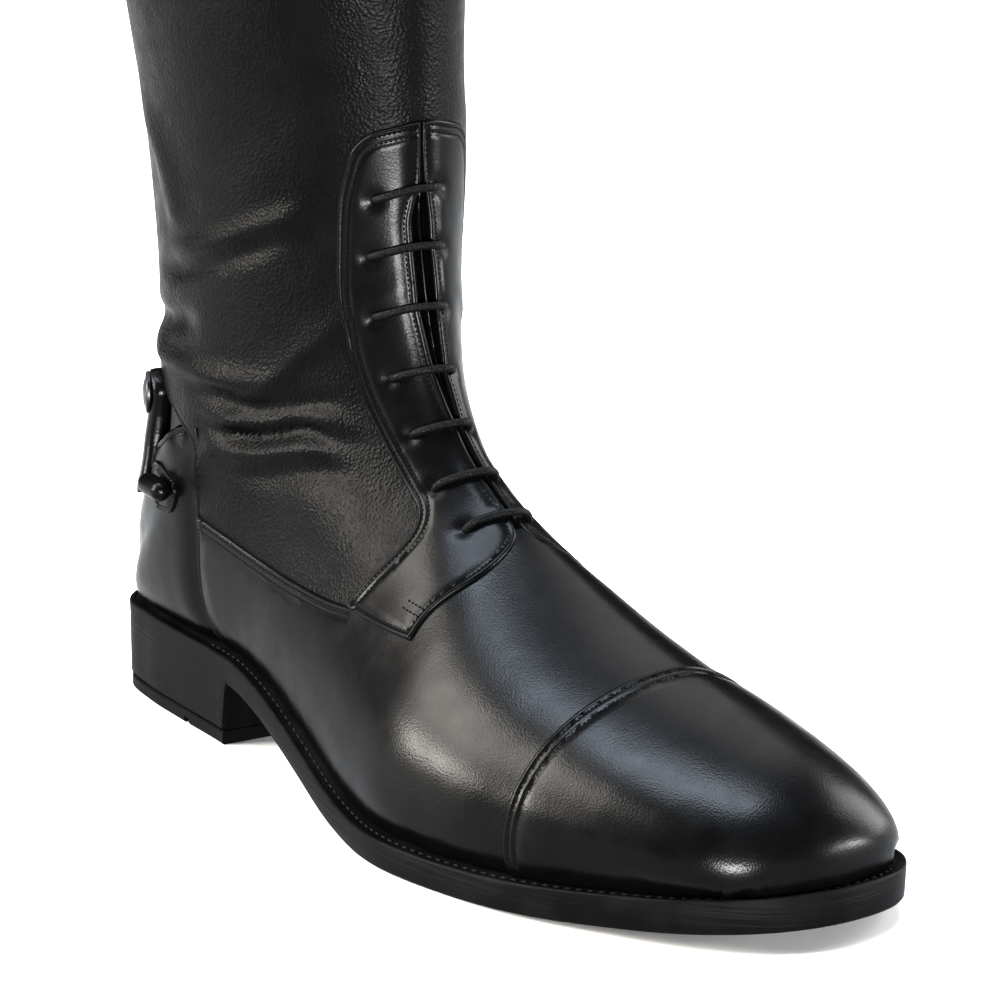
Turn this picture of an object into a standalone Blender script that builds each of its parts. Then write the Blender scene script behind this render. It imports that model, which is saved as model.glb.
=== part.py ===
"""Field boot for the right foot: moulded sole with a low heel, hollow leather upper, front lacing, rear zip.

Sizes are in millimetres in the boot's own directions: forward from the back of the heel, right of the
heel's middle line (the outer, lateral side is positive) and up from the floor. The toe points to -Y.
"""

import math
from collections import namedtuple

import bmesh
import bpy
import numpy as np
from mathutils import Vector

# Placing: the middle of the whole boot's box, seen from above
MM = 0.001
CENTRE_FORWARD = 140.316
CENTRE_RIGHT = -2.559
GAP = 0.3

# Sole
TOE_FORWARD = 296.5
TOE_RIGHT = -20.5
HEEL_BREAST = 77.0
HEEL_BREAST_LEAN = 2.5
HEEL_HEIGHT = 18.2
WAIST_END = 176.0
TREAD_END = 206.0
HEEL_TURN = 70.0
TOE_TURN = 215.0
TOE_SPRING = 6.4
SOLE_EDGE = 6.8
TOE_GAIN = 1.5
WELT_THICK = 1.0
TOP_LIFT_THICK = 3.8
HEEL_TAPER = 0.6
LIFT_GROOVE_FORWARD = 54.5
LIFT_GROOVE_WIDTH = 3.0
LIFT_GROOVE_DEPTH = 1.4
INSOLE_THICK = 2.8

# Distances in from the sole's edge
WELT_INSET = 0.5
WELT_WIDTH = 7.6
FEATHER_INSET = 6.5
INSOLE_INSET = 9.2

# Search for a place at a height: the lowest station to look at, and how often the range is halved
FIRST_SEARCHED_STATION = 9.0
HALVINGS = 40

# Upper and what lies on it
WALL = 2.0
FEATHER_GAP = 1.0
SIDE_COLUMNS = 13
SLIT_STATIONS = (11.5, 21.5)
ZIP_HALF = 4.2
ZIP_START = 23
ROWS_BETWEEN = (9.5, 10.5, 11.5, 12.5, 13.5, 14.5, 15.5, 16.5, 17.25, 17.5, 17.75, 18.5, 21.5)
CAP_THICK = 1.4
CAP_STATIONS = (1.0, 8.0)
CAP_LOW_EDGE = 4.6
COUNTER_THICK = 1.4
COUNTER_GAP = 0.45
COUNTER_LOW_EDGE = 2.3
FACING_THICK = 1.6
TONGUE_THICK = 1.4
TONGUE_STATIONS = (10.5, 23.0)
TONGUE_COLUMNS = 3

# Lacing
LACE_DIAMETER = 2.2
LACE_GAP = 0.5

# Rear fittings
STRAP_WIDTH = 14.0
STRAP_THICK = 1.6
SNAP_DIAMETER = 12.0
SNAP_HEIGHT = 1.8
SNAP_UP = 91.5
SNAP_GAP = 0.6
SPUR_REST_RADIUS = 2.6
SPUR_REST_UP = 70.0
SPUR_REST_REACH = (117.0, 130.0)
SPUR_REST_ENDS = (0.45, 0.85, 1.0, 1.0, 1.0, 0.85, 0.45)
SLIDER_UP = 446.0
SLIDER_WIDTH = 8.0
SLIDER_LENGTH = 11.0
SLIDER_THICK = 2.6
BRIDGE_LENGTH = 7.0
BRIDGE_HEIGHT = 3.4
BRIDGE_WIDTH = 2.2
BRIDGE_BAR = 1.0
TAB_WIDTH = 7.4
TAB_LENGTH = 27.0
TAB_THICK = 1.4
TAB_EYE_WIDTH = 3.6
TAB_EYE_LENGTH = 6.0

# Colours
RUBBER = (0.035, 0.034, 0.034)
DARK_RUBBER = (0.020, 0.020, 0.020)
CALF = (0.012, 0.012, 0.013)
GRAIN = (0.011, 0.011, 0.012)
LACE = (0.014, 0.014, 0.015)
ZIP = (0.013, 0.013, 0.014)
STEEL = (0.22, 0.22, 0.23)

# Half of the zip's section: across from its middle, and out from the upper's outside
ZipPoint = namedtuple("ZipPoint", "right out")
ZIP_PROFILE = (ZipPoint(3.3, -1.9), ZipPoint(3.3, -0.6), ZipPoint(1.9, -0.5), ZipPoint(1.4, 0.6))

SoleStation = namedtuple("SoleStation", "forward lateral medial")
SOLE_STATIONS = (
    SoleStation(3.0, 14.5, -14.5),
    SoleStation(13.0, 26.0, -26.0),
    SoleStation(30.0, 29.6, -30.0),
    SoleStation(50.0, 30.8, -31.0),
    SoleStation(76.0, 31.8, -30.5),
    SoleStation(100.0, 34.6, -28.0),
    SoleStation(130.0, 39.3, -27.5),
    SoleStation(160.0, 44.7, -33.0),
    SoleStation(187.0, 47.8, -44.0),
    SoleStation(215.0, 43.3, -52.5),
    SoleStation(236.0, 36.8, -56.0),
    SoleStation(257.0, 26.2, -57.0),
    SoleStation(277.0, 13.8, -53.4),
    SoleStation(291.5, -2.5, -41.2),
)

# Each section of the upper hangs from a point on the ridge (top) to a low end on the sole's feather line.
# rise lifts the low end up the heel's back, where the section closes to a ring. share is how far up from
# the low end the section is widest, lateral and medial are its widest places. The crowns say how round
# each side is above that, and seat how round both are below it: 2 is an ellipse, more is fuller.
Section = namedtuple(
    "Section", "top_f top_r top_u low_f rise share lateral medial lateral_crown medial_crown seat")
SECTIONS = (
    Section(291.0, -20.5, 16.0, 283.0, 0.0, 0.03, -1.0, -40.6, 1.70, 1.70, 2.0),
    Section(292.4, -20.5, 19.1, 280.5, 0.0, 0.15, 5.0, -43.6, 1.85, 1.80, 2.0),
    Section(292.4, -20.5, 23.2, 277.5, 0.0, 0.22, 8.0, -45.3, 2.00, 1.88, 2.0),
    Section(290.2, -20.4, 28.3, 273.0, 0.0, 0.25, 11.8, -47.8, 2.00, 1.93, 2.0),
    Section(285.0, -20.3, 34.0, 266.5, 0.0, 0.25, 16.2, -49.8, 2.00, 1.90, 2.0),
    Section(275.5, -19.8, 39.8, 258.0, 0.0, 0.25, 21.0, -51.0, 2.00, 1.88, 2.0),
    Section(261.5, -18.5, 45.5, 247.5, 0.0, 0.24, 26.5, -51.4, 2.00, 1.83, 2.0),
    Section(246.5, -17.0, 50.6, 238.0, 0.0, 0.22, 31.2, -51.0, 2.00, 1.75, 2.0),
    Section(231.0, -15.0, 55.4, 228.5, 0.0, 0.20, 35.3, -49.9, 2.00, 1.67, 2.0),
    Section(210.0, -12.0, 62.5, 207.0, 0.0, 0.18, 42.0, -47.5, 1.95, 1.66, 2.0),
    Section(190.0, -9.0, 70.8, 185.0, 0.0, 0.16, 44.8, -42.0, 1.85, 1.74, 2.0),
    Section(172.0, -5.5, 80.2, 160.0, 0.0, 0.16, 41.7, -34.0, 1.75, 1.80, 2.0),
    Section(160.0, -3.0, 89.4, 132.0, 0.0, 0.18, 36.8, -30.0, 1.65, 1.70, 2.0),
    Section(150.5, -1.5, 99.5, 104.0, 0.0, 0.22, 33.0, -28.0, 1.60, 1.60, 2.1),
    Section(144.8, -0.5, 109.5, 78.0, 0.0, 0.28, 31.5, -29.0, 1.60, 1.58, 2.2),
    Section(141.2, 0.0, 119.0, 52.0, 0.0, 0.34, 32.0, -30.5, 1.60, 1.58, 2.3),
    Section(138.8, 0.0, 128.5, 30.0, 0.0, 0.40, 33.0, -31.5, 1.62, 1.62, 2.4),
    Section(137.4, 0.0, 136.0, 14.0, 0.0, 0.45, 33.5, -32.5, 1.65, 1.65, 2.4),
    Section(136.3, 0.0, 142.0, 6.5, 0.0, 0.50, 34.0, -33.0, 1.70, 1.70, 2.4),
    Section(135.2, 0.0, 148.0, 2.4, 9.0, 0.50, 34.0, -33.0, 1.72, 1.74, 2.25),
    Section(134.2, 0.0, 155.0, 4.5, 19.0, 0.50, 34.0, -33.0, 1.74, 1.78, 1.95),
    Section(133.5, 0.0, 162.0, 6.8, 30.0, 0.50, 34.0, -33.5, 1.76, 1.82, 1.86),
    Section(132.9, 0.0, 170.0, 9.3, 42.0, 0.50, 34.0, -34.0, 1.78, 1.86, 1.86),
    Section(132.5, 0.0, 179.0, 11.6, 55.0, 0.50, 34.2, -34.5, 1.81, 1.90, 1.95),
    Section(132.3, 0.0, 189.0, 13.3, 70.0, 0.50, 34.6, -35.0, 1.84, 1.93, 2.02),
    Section(132.3, 0.0, 200.0, 14.0, 87.0, 0.50, 35.0, -33.6, 1.87, 1.95, 2.03),
    Section(132.5, 0.0, 213.0, 13.5, 107.0, 0.50, 36.8, -33.0, 1.90, 1.97, 2.0),
    Section(133.0, 0.0, 228.0, 12.0, 130.0, 0.50, 39.0, -33.6, 1.93, 1.98, 2.0),
    Section(133.8, 0.0, 247.0, 6.0, 158.0, 0.50, 41.6, -34.8, 1.96, 2.00, 2.0),
    Section(135.0, 0.0, 272.0, -4.0, 195.0, 0.50, 44.0, -38.0, 2.00, 2.00, 2.0),
    Section(137.0, 0.0, 305.0, -9.5, 245.0, 0.50, 47.5, -43.5, 2.00, 2.00, 2.0),
    Section(138.5, 0.0, 345.0, -12.0, 302.0, 0.50, 50.0, -50.0, 2.00, 2.00, 2.0),
    Section(139.0, 0.0, 390.0, -12.0, 355.0, 0.50, 52.0, -52.0, 2.00, 2.00, 2.0),
    Section(138.5, 0.0, 432.0, -10.0, 398.0, 0.50, 52.0, -52.0, 2.00, 2.00, 2.0),
    Section(138.0, 0.0, 470.0, -8.0, 434.0, 0.50, 51.5, -51.5, 2.00, 2.00, 2.0),
)

# Outlines seen from the side: the lace panel, and the heel counter with its front seam and its dipping top
SidePoint = namedtuple("SidePoint", "forward up")
FACING_OUTLINE = (
    SidePoint(150.0, 184.5), SidePoint(134.0, 183.6), SidePoint(130.5, 181.6), SidePoint(126.2, 179.2),
    SidePoint(123.2, 175.3), SidePoint(121.6, 169.5), SidePoint(120.2, 162.0), SidePoint(119.6, 148.0),
    SidePoint(120.0, 136.5), SidePoint(122.2, 125.0), SidePoint(125.4, 114.0), SidePoint(130.7, 104.7),
    SidePoint(138.3, 95.5), SidePoint(145.7, 88.4), SidePoint(153.4, 82.0), SidePoint(155.2, 77.5),
    SidePoint(154.0, 72.6), SidePoint(149.0, 64.7), SidePoint(144.3, 56.8), SidePoint(154.0, 56.0),
    SidePoint(175.6, 55.3), SidePoint(176.4, 62.5), SidePoint(179.0, 70.0), SidePoint(178.4, 77.0),
    SidePoint(175.8, 81.5), SidePoint(176.0, 92.0),
)
COUNTER_OUTLINE = (
    SidePoint(-30.0, 70.0), SidePoint(10.0, 71.0), SidePoint(33.0, 76.3), SidePoint(47.0, 82.2),
    SidePoint(57.0, 88.0), SidePoint(63.5, 88.5), SidePoint(65.6, 78.0), SidePoint(65.4, 62.0),
    SidePoint(64.4, 46.0), SidePoint(66.0, 36.0), SidePoint(71.5, 0.0), SidePoint(-30.0, 0.0),
)

# The lacing slit's two edges as reaches from the ridge, close together at the seams above and below it
SlitPoint = namedtuple("SlitPoint", "station lateral medial")
SLIT_EDGES = (
    SlitPoint(8.5, 0.3, -0.3), SlitPoint(10.0, 0.8, 0.2), SlitPoint(11.5, 0.9, -0.3),
    SlitPoint(13.5, 1.0, 0.0), SlitPoint(15.0, 2.4, 0.0), SlitPoint(17.0, 4.5, 0.0),
    SlitPoint(20.5, 4.7, 0.0), SlitPoint(21.5, 2.2, 0.9), SlitPoint(22.5, 1.8, 1.2),
    SlitPoint(24.5, 1.8, 1.2), SlitPoint(26.5, 0.3, -0.3),
)

# Each lace bar: the stations of its middle and of its lateral end, and how far round each side it reaches
LaceBar = namedtuple("LaceBar", "middle lateral_end lateral medial")
LACE_BARS = (
    LaceBar(21.42, 21.60, 15.0, 4.2),
    LaceBar(19.27, 19.72, 17.3, 3.8),
    LaceBar(16.70, 17.35, 17.6, 3.0),
    LaceBar(14.83, 15.23, 14.7, 3.4),
    LaceBar(13.37, 13.66, 12.6, 3.8),
    LaceBar(12.18, 12.41, 13.2, 4.2),
    LaceBar(11.19, 11.36, 13.4, 5.2),
)

# The guard strap on the lateral back corner: at each height its middle's reach round from the ridge,
# and how far its inner face stands off the upper
StrapPoint = namedtuple("StrapPoint", "up reach stand")
STRAP_LINE = (
    StrapPoint(63.0, 142.9, 2.3), StrapPoint(70.0, 143.6, 2.3), StrapPoint(76.0, 144.0, 2.4),
    StrapPoint(80.0, 144.0, 2.3), StrapPoint(86.0, 143.3, 1.8), StrapPoint(93.0, 141.5, 1.7),
    StrapPoint(98.0, 140.0, 1.5),
)


def smooth_loop(points, steps):
    """Return a closed smooth curve through the points, with the given steps between each two."""
    count = len(points)
    curve = []
    for index in range(count):
        before, start, end, after = (points[(index + shift) % count] for shift in (-1, 0, 1, 2))
        knots = np.cumsum([0.0] + [math.sqrt(np.linalg.norm(b - a)) for a, b in
                                   ((before, start), (start, end), (end, after))])
        for place in np.linspace(knots[1], knots[2], steps, endpoint=False):
            low = mix_at(place, knots[0], knots[1], before, start)
            middle = mix_at(place, knots[1], knots[2], start, end)
            high = mix_at(place, knots[2], knots[3], end, after)
            first = mix_at(place, knots[0], knots[2], low, middle)
            second = mix_at(place, knots[1], knots[3], middle, high)
            curve.append(mix_at(place, knots[1], knots[2], first, second))
    return np.array(curve)


def mix_at(place, low, high, first, second):
    """Return the point between first and second that belongs to a place between low and high."""
    part = (place - low) / (high - low)
    return first * (1.0 - part) + second * part


def sole_outline():
    """Return the sole's edge from above, from the heel's back round the lateral side, and the toe's index."""
    points = [(0.0, 0.0)]
    points += [(row.forward, row.lateral) for row in SOLE_STATIONS]
    points += [(TOE_FORWARD, TOE_RIGHT)]
    points += [(row.forward, row.medial) for row in reversed(SOLE_STATIONS)]
    steps = 24
    return smooth_loop(np.array(points), steps), (len(SOLE_STATIONS) + 1) * steps


OUTLINE, TOE_INDEX = sole_outline()


def inset_outline(inset):
    """Return the sole's edge moved in by a distance."""
    along = np.roll(OUTLINE, -1, axis=0) - np.roll(OUTLINE, 1, axis=0)
    along /= np.linalg.norm(along, axis=1)[:, None]
    inward = np.stack([along[:, 1], -along[:, 0]], axis=1)
    return OUTLINE + inward * inset


def edge_right(forward, inset, lateral):
    """Return how far right the inset sole edge lies at a forward place, on one side."""
    line = inset_outline(inset)
    side = line[:TOE_INDEX + 1] if lateral else np.vstack([line[TOE_INDEX:], line[:1]])[::-1]
    return np.interp(forward, side[:, 0], side[:, 1])


def under_height(forward):
    """Return the height of the sole's underside: heel, arch, flat tread and toe spring."""
    waist = np.clip((WAIST_END - forward) / (WAIST_END - HEEL_BREAST), 0.0, 1.0)
    spring = np.clip((forward - TREAD_END) / (TOE_FORWARD - TREAD_END), 0.0, 1.0)
    return HEEL_HEIGHT * waist * waist * (3.0 - 2.0 * waist) + TOE_SPRING * spring * spring


def sole_top(forward):
    """Return the height of the outsole's upper face: the edge grows a little towards the toe."""
    spring = np.clip((forward - TREAD_END) / (TOE_FORWARD - TREAD_END), 0.0, 1.0)
    return under_height(forward) + SOLE_EDGE + TOE_GAIN * spring


def feather_height(forward):
    """Return the height of the line where the upper stands on the welt."""
    return sole_top(forward) + GAP + WELT_THICK + FEATHER_GAP


def row_slopes(values):
    """Return slopes at evenly spaced values that never overshoot between them."""
    steps = np.diff(values, axis=0)
    slopes = np.zeros_like(values)
    before, after = steps[:-1], steps[1:]
    same_way = before * after > 0.0
    total = np.where(same_way, before + after, 1.0)
    slopes[1:-1] = np.where(same_way, 2.0 * before * after / total, 0.0)
    slopes[0] = steps[0]
    slopes[-1] = steps[-1]
    return slopes


SECTION_VALUES = np.array(SECTIONS)
SECTION_SLOPES = row_slopes(SECTION_VALUES)
LAST_STATION = len(SECTIONS) - 1
HEEL_STATION = max(index for index, row in enumerate(SECTIONS) if row.rise == 0.0)


def section_at(station):
    """Return the section at any place between the table's rows."""
    row = min(int(station), LAST_STATION - 1)
    part = station - row
    square, cube = part * part, part ** 3
    return Section(*(SECTION_VALUES[row] * (2 * cube - 3 * square + 1)
                     + SECTION_SLOPES[row] * (cube - 2 * square + part)
                     + SECTION_VALUES[row + 1] * (3 * square - 2 * cube)
                     + SECTION_SLOPES[row + 1] * (cube - square)))


def half_section(station, lateral):
    """Return one side of a section as a fine line from the ridge to the low end."""
    row = section_at(station)
    low_up = feather_height(max(row.low_f, 0.0)) + row.rise
    low_right = edge_right(row.low_f, FEATHER_INSET, lateral) if station < HEEL_STATION else 0.0
    top = np.array([row.top_f, row.top_r, row.top_u])
    low = np.array([row.low_f, low_right, low_up])
    level = np.array([row.low_f, row.top_r, low_up]) * (1.0 - row.share) + top * row.share
    side = np.array([level[0], row.lateral if lateral else row.medial, level[2]])
    inner = np.array([level[0], low_right, level[2]])
    turn = np.linspace(0.0, math.pi / 2.0, 41)[:, None]
    crown = 2.0 / (row.lateral_crown if lateral else row.medial_crown)
    seat = 2.0 / row.seat
    upper_arc = level + (top - level) * np.cos(turn) ** crown + (side - level) * np.sin(turn) ** crown
    lower_arc = inner + (side - inner) * np.cos(turn) ** seat + (low - inner) * np.sin(turn) ** seat
    return np.vstack([upper_arc, lower_arc[1:]])


def half_length(station, lateral):
    """Return how long one side of a section is."""
    return np.linalg.norm(np.diff(half_section(station, lateral), axis=0), axis=1).sum()


def skin_point(station, reach):
    """Return the place on the upper's outside at a distance round the section: lateral is positive."""
    line = half_section(station, reach >= 0.0)
    length = np.append(0.0, np.cumsum(np.linalg.norm(np.diff(line, axis=0), axis=1)))
    return np.array([np.interp(abs(reach), length, line[:, axis]) for axis in range(3)])


def skin(station, reach, offset):
    """Return the place at a distance off the upper's outside, measured along its outward direction."""
    step, slide = 0.02, 0.2
    stations = (max(station - step, 0.0), min(station + step, LAST_STATION))
    along = skin_point(stations[1], reach) - skin_point(stations[0], reach)
    farthest = half_length(station, reach >= 0.0)
    reaches = (max(reach - slide, -farthest), min(reach + slide, farthest))
    across = skin_point(station, reaches[1]) - skin_point(station, reaches[0])
    outward = np.cross(across, along)
    return skin_point(station, reach) + outward / np.linalg.norm(outward) * offset


def skin_at_height(up, reach, offset):
    """Return the place at a given height and distance round from the ridge."""
    low, high = FIRST_SEARCHED_STATION, float(LAST_STATION)
    for _ in range(HALVINGS):
        middle = (low + high) / 2.0
        if skin_point(middle, reach)[2] < up:
            low = middle
        else:
            high = middle
    return skin(low, reach, offset)


def front_edge(station, lateral):
    """Return how far round from the ridge one side's columns start: apart from the other's at the slit."""
    edges = [point.lateral if lateral else -point.medial for point in SLIT_EDGES]
    return float(np.interp(station, [point.station for point in SLIT_EDGES], edges))


def back_edge(station):
    """Return how far from the middle of the back the upper's last columns lie."""
    return ZIP_HALF * min(max(station - HEEL_STATION, 0.0), 1.0)


def columns(station, lateral, low_edge=0.0):
    """Return the distances round one side at which the upper has its columns."""
    end = half_length(station, lateral) - max(back_edge(station), low_edge)
    reaches = np.linspace(front_edge(station, lateral), end, SIDE_COLUMNS)
    return reaches if lateral else -reaches


def skin_grid(stations, last=SIDE_COLUMNS, low_edge=0.0, sides=(False, True)):
    """Return rows of points on the upper's outside, from the medial side over the ridge to the lateral."""
    grid = []
    for station in stations:
        row = []
        for lateral in sides:
            reaches = columns(station, lateral, low_edge)[:last]
            row += [skin_point(station, reach) for reach in (reaches if lateral else reaches[::-1])]
        grid.append(row)
    return np.array(grid)


def upper_stations(start, end):
    """Return the stations from start to end at which the upper has its rows."""
    rows = sorted(set(range(LAST_STATION + 1)) | set(ROWS_BETWEEN) | {start, end})
    return [row for row in rows if start <= row <= end]


def to_world(points):
    """Turn boot sizes in millimetres into scene places in metres."""
    points = np.asarray(points, dtype=float)
    return np.stack([-(points[..., 1] - CENTRE_RIGHT), -(points[..., 0] - CENTRE_FORWARD),
                     points[..., 2]], axis=-1) * MM


def clear_scene():
    """Remove what the scene holds and add the boot's two collections and its parent."""
    for item in list(bpy.data.objects):
        bpy.data.objects.remove(item)
    for name in ("field_boot", "field_boot_cutters"):
        bpy.context.scene.collection.children.link(bpy.data.collections.new(name))
    origin = bpy.data.objects.new("field_boot_origin", None)
    bpy.data.collections["field_boot"].objects.link(origin)


def add_piece(name, mesh, colour, roughness, metallic=0.0):
    """Add one named piece with its own material under the boot's parent."""
    material = bpy.data.materials.new(name)
    material.use_nodes = True
    shader = material.node_tree.nodes["Principled BSDF"]
    shader.inputs["Base Color"].default_value = (*colour, 1.0)
    shader.inputs["Roughness"].default_value = roughness
    shader.inputs["Metallic"].default_value = metallic
    mesh.materials.clear()
    mesh.materials.append(material)
    piece = bpy.data.objects.new(name, mesh)
    piece.parent = bpy.data.objects["field_boot_origin"]
    bpy.data.collections["field_boot"].objects.link(piece)
    return piece


def add_cutter(name, mesh):
    """Add a form that only cuts others."""
    cutter = bpy.data.objects.new(name, mesh)
    cutter.hide_render = True
    cutter.display_type = "WIRE"
    bpy.data.collections["field_boot_cutters"].objects.link(cutter)
    return cutter


def mesh_from(work, name, smooth=True):
    """Turn a bmesh into a mesh with its doubled points merged."""
    bmesh.ops.remove_doubles(work, verts=work.verts, dist=0.00001)
    mesh = bpy.data.meshes.new(name)
    work.to_mesh(mesh)
    work.free()
    if smooth:
        mesh.shade_smooth()
        mesh.set_sharp_from_angle(angle=math.radians(40.0))
    return mesh


def grid_faces(work, grid, medial_columns, skip=lambda row, column: False):
    """Add a grid of points as faces that look outwards, alike on both sides, without those that skip names."""
    places = to_world(grid)
    points = [[work.verts.new(place) for place in row] for row in places]
    for row in range(len(points) - 1):
        for column in range(len(points[row]) - 1):
            if not skip(row, column):
                near, far = points[row], points[row + 1]
                corners = [near[column], far[column], far[column + 1], near[column + 1]]
                if column >= medial_columns:
                    corners = corners[1:] + corners[:1]
                work.faces.new((corners[0], corners[1], corners[2]))
                work.faces.new((corners[0], corners[2], corners[3]))
    return points


def add_solidify(piece, inner, outer):
    """Give the upper's outside a thickness, between two distances out from it."""
    solidify = piece.modifiers.new("thickness", "SOLIDIFY")
    solidify.thickness = (outer - inner) * MM
    solidify.offset = (outer + inner) / (outer - inner)


def add_boolean(piece, operation, cutter):
    """Cut a piece with a cutter."""
    boolean = piece.modifiers.new(operation.lower(), "BOOLEAN")
    boolean.operation = operation
    boolean.object = cutter
    boolean.solver = "EXACT"


def ring_loft(name, rings, closed):
    """Make a solid from rings of points: joined end to end, or with both ends shut."""
    work = bmesh.new()
    rings = [[work.verts.new(place) for place in to_world(ring)] for ring in rings]
    pairs = list(zip(rings, rings[1:]))
    if closed:
        pairs.append((rings[-1], rings[0]))
    for first, second in pairs:
        for index in range(len(first)):
            after = (index + 1) % len(first)
            work.faces.new((first[index], first[after], second[after], second[index]))
    if not closed:
        work.faces.new(rings[0])
        work.faces.new(reversed(rings[-1]))
    bmesh.ops.remove_doubles(work, verts=work.verts, dist=0.00001)
    bmesh.ops.dissolve_degenerate(work, edges=work.edges, dist=0.000001)
    bmesh.ops.recalc_face_normals(work, faces=work.faces)
    return mesh_from(work, name)


def side_prism(name, outline):
    """Make a cutter that goes right across the boot from an outline seen from the side."""
    reach = 120.0
    work = bmesh.new()
    places = to_world([(point.forward, reach, point.up) for point in outline])
    face = work.faces.new([work.verts.new(place) for place in places])
    moved = bmesh.ops.extrude_face_region(work, geom=[face])["geom"]
    points = [item for item in moved if isinstance(item, bmesh.types.BMVert)]
    bmesh.ops.translate(work, verts=points, vec=(2.0 * reach * MM, 0.0, 0.0))
    bmesh.ops.recalc_face_normals(work, faces=work.faces)
    return add_cutter(name, mesh_from(work, name, smooth=False))


def plate_rings(stations, inset, low_inset, low, high):
    """Return four-cornered rings across the sole between two heights that follow the forward place."""
    rings = []
    for forward in stations:
        sides = [(edge_right(forward, amount, True), edge_right(forward, amount, False))
                 for amount in (inset, low_inset)]
        rings.append([(forward, sides[0][0], high(forward)), (forward, sides[0][1], high(forward)),
                      (forward, sides[1][1], low(forward)), (forward, sides[1][0], low(forward))])
    return rings


def eased(start, end, count, ease_start, ease_end):
    """Return forward places that crowd at the rounded ends."""
    share = np.linspace(0.0, 1.0, count)
    if ease_start:
        share = 1.0 - np.cos(share * math.pi / 2.0)
    if ease_end:
        share = np.sin(share * math.pi / 2.0)
    return start + (end - start) * share


def build_outsole():
    """Moulded sole: forepart with toe spring, arch, and the heel in one piece with it."""
    breast_top = HEEL_BREAST + HEEL_BREAST_LEAN
    heel = eased(0.0, HEEL_BREAST, 12, True, False)
    waist = np.linspace(breast_top, TOE_TURN, 17)
    toe = eased(TOE_TURN, TOE_FORWARD, 13, False, True)[1:]

    def low(forward):
        return TOP_LIFT_THICK + GAP if forward <= HEEL_BREAST else under_height(forward)

    rings = plate_rings(np.concatenate([heel, waist, toe]), 0.0, HEEL_TAPER, low, sole_top)
    add_piece("outsole", ring_loft("outsole", rings, False), RUBBER, 0.62)


def build_top_lift():
    """Wearing piece under the heel, with the groove across its underside."""
    stations = eased(0.0, HEEL_BREAST, 12, True, False)
    rings = plate_rings(stations, HEEL_TAPER, HEEL_TAPER, lambda forward: 0.0, lambda forward: TOP_LIFT_THICK)
    lift = add_piece("heel_top_lift", ring_loft("heel_top_lift", rings, False), RUBBER, 0.65)
    work = bmesh.new()
    bmesh.ops.create_cube(work, size=MM)
    bmesh.ops.scale(work, verts=work.verts, vec=(90.0, LIFT_GROOVE_WIDTH, 2.0 * LIFT_GROOVE_DEPTH))
    middle = to_world((LIFT_GROOVE_FORWARD, 0.0, 0.0))
    bmesh.ops.translate(work, verts=work.verts, vec=middle)
    add_boolean(lift, "DIFFERENCE", add_cutter("lift_groove", mesh_from(work, "lift_groove", smooth=False)))


def build_welt():
    """Strip round the top of the sole's edge, on which the upper stands."""
    steps = 8
    outer = inset_outline(WELT_INSET)[::steps]
    inner = inset_outline(WELT_INSET + WELT_WIDTH)[::steps]
    rings = []
    for out_point, in_point in zip(outer, inner):
        ring = []
        for point, lift in ((out_point, 0.0), (out_point, WELT_THICK), (in_point, WELT_THICK), (in_point, 0.0)):
            ring.append((point[0], point[1], sole_top(point[0]) + GAP + lift))
        rings.append(ring)
    add_piece("welt", ring_loft("welt", rings, True), DARK_RUBBER, 0.7)


def build_insole():
    """Board that closes the inside of the foot."""
    start, end = INSOLE_INSET + 0.02, TOE_FORWARD - INSOLE_INSET - 0.02
    stations = np.concatenate([eased(start, HEEL_TURN, 9, True, False),
                               np.linspace(HEEL_TURN, TOE_TURN, 19)[1:],
                               eased(TOE_TURN, end, 10, False, True)[1:]])
    rings = plate_rings(stations, INSOLE_INSET, INSOLE_INSET, lambda forward: sole_top(forward) + GAP,
                        lambda forward: sole_top(forward) + GAP + INSOLE_THICK)
    add_piece("insole", ring_loft("insole", rings, False), DARK_RUBBER, 0.8)


def back_bridge(work, points, stations, end):
    """Join the two ends of each ring across the middle of the back, up to the end station."""
    for row in range(len(points) - 1):
        if stations[row] >= HEEL_STATION and stations[row + 1] <= end:
            near, far = points[row], points[row + 1]
            work.faces.new((near[-1], far[-1], far[0]))
            if stations[row] > HEEL_STATION:
                work.faces.new((near[-1], far[0], near[0]))


def build_upper():
    """Vamp, quarters and shaft as one wall, open at collar, lacing slit, zip and underneath."""
    stations = upper_stations(0, LAST_STATION)

    def in_slit(row, column):
        slit = SLIT_STATIONS[0] <= stations[row] and stations[row + 1] <= SLIT_STATIONS[1]
        return slit and column == SIDE_COLUMNS - 1

    work = bmesh.new()
    points = grid_faces(work, skin_grid(stations), SIDE_COLUMNS, in_slit)
    back_bridge(work, points, stations, ZIP_START)
    upper = add_piece("upper", mesh_from(work, "upper"), GRAIN, 0.42)
    add_solidify(upper, -WALL, 0.0)


def build_toe_cap():
    """Straight cap over the toe, up to its seam across the vamp."""
    work = bmesh.new()
    stations = [CAP_STATIONS[0]] + list(range(2, int(CAP_STATIONS[1]) + 1))
    grid_faces(work, skin_grid(stations, low_edge=CAP_LOW_EDGE), SIDE_COLUMNS)
    cap = add_piece("toe_cap", mesh_from(work, "toe_cap"), CALF, 0.3)
    add_solidify(cap, GAP, GAP + CAP_THICK)


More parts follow.
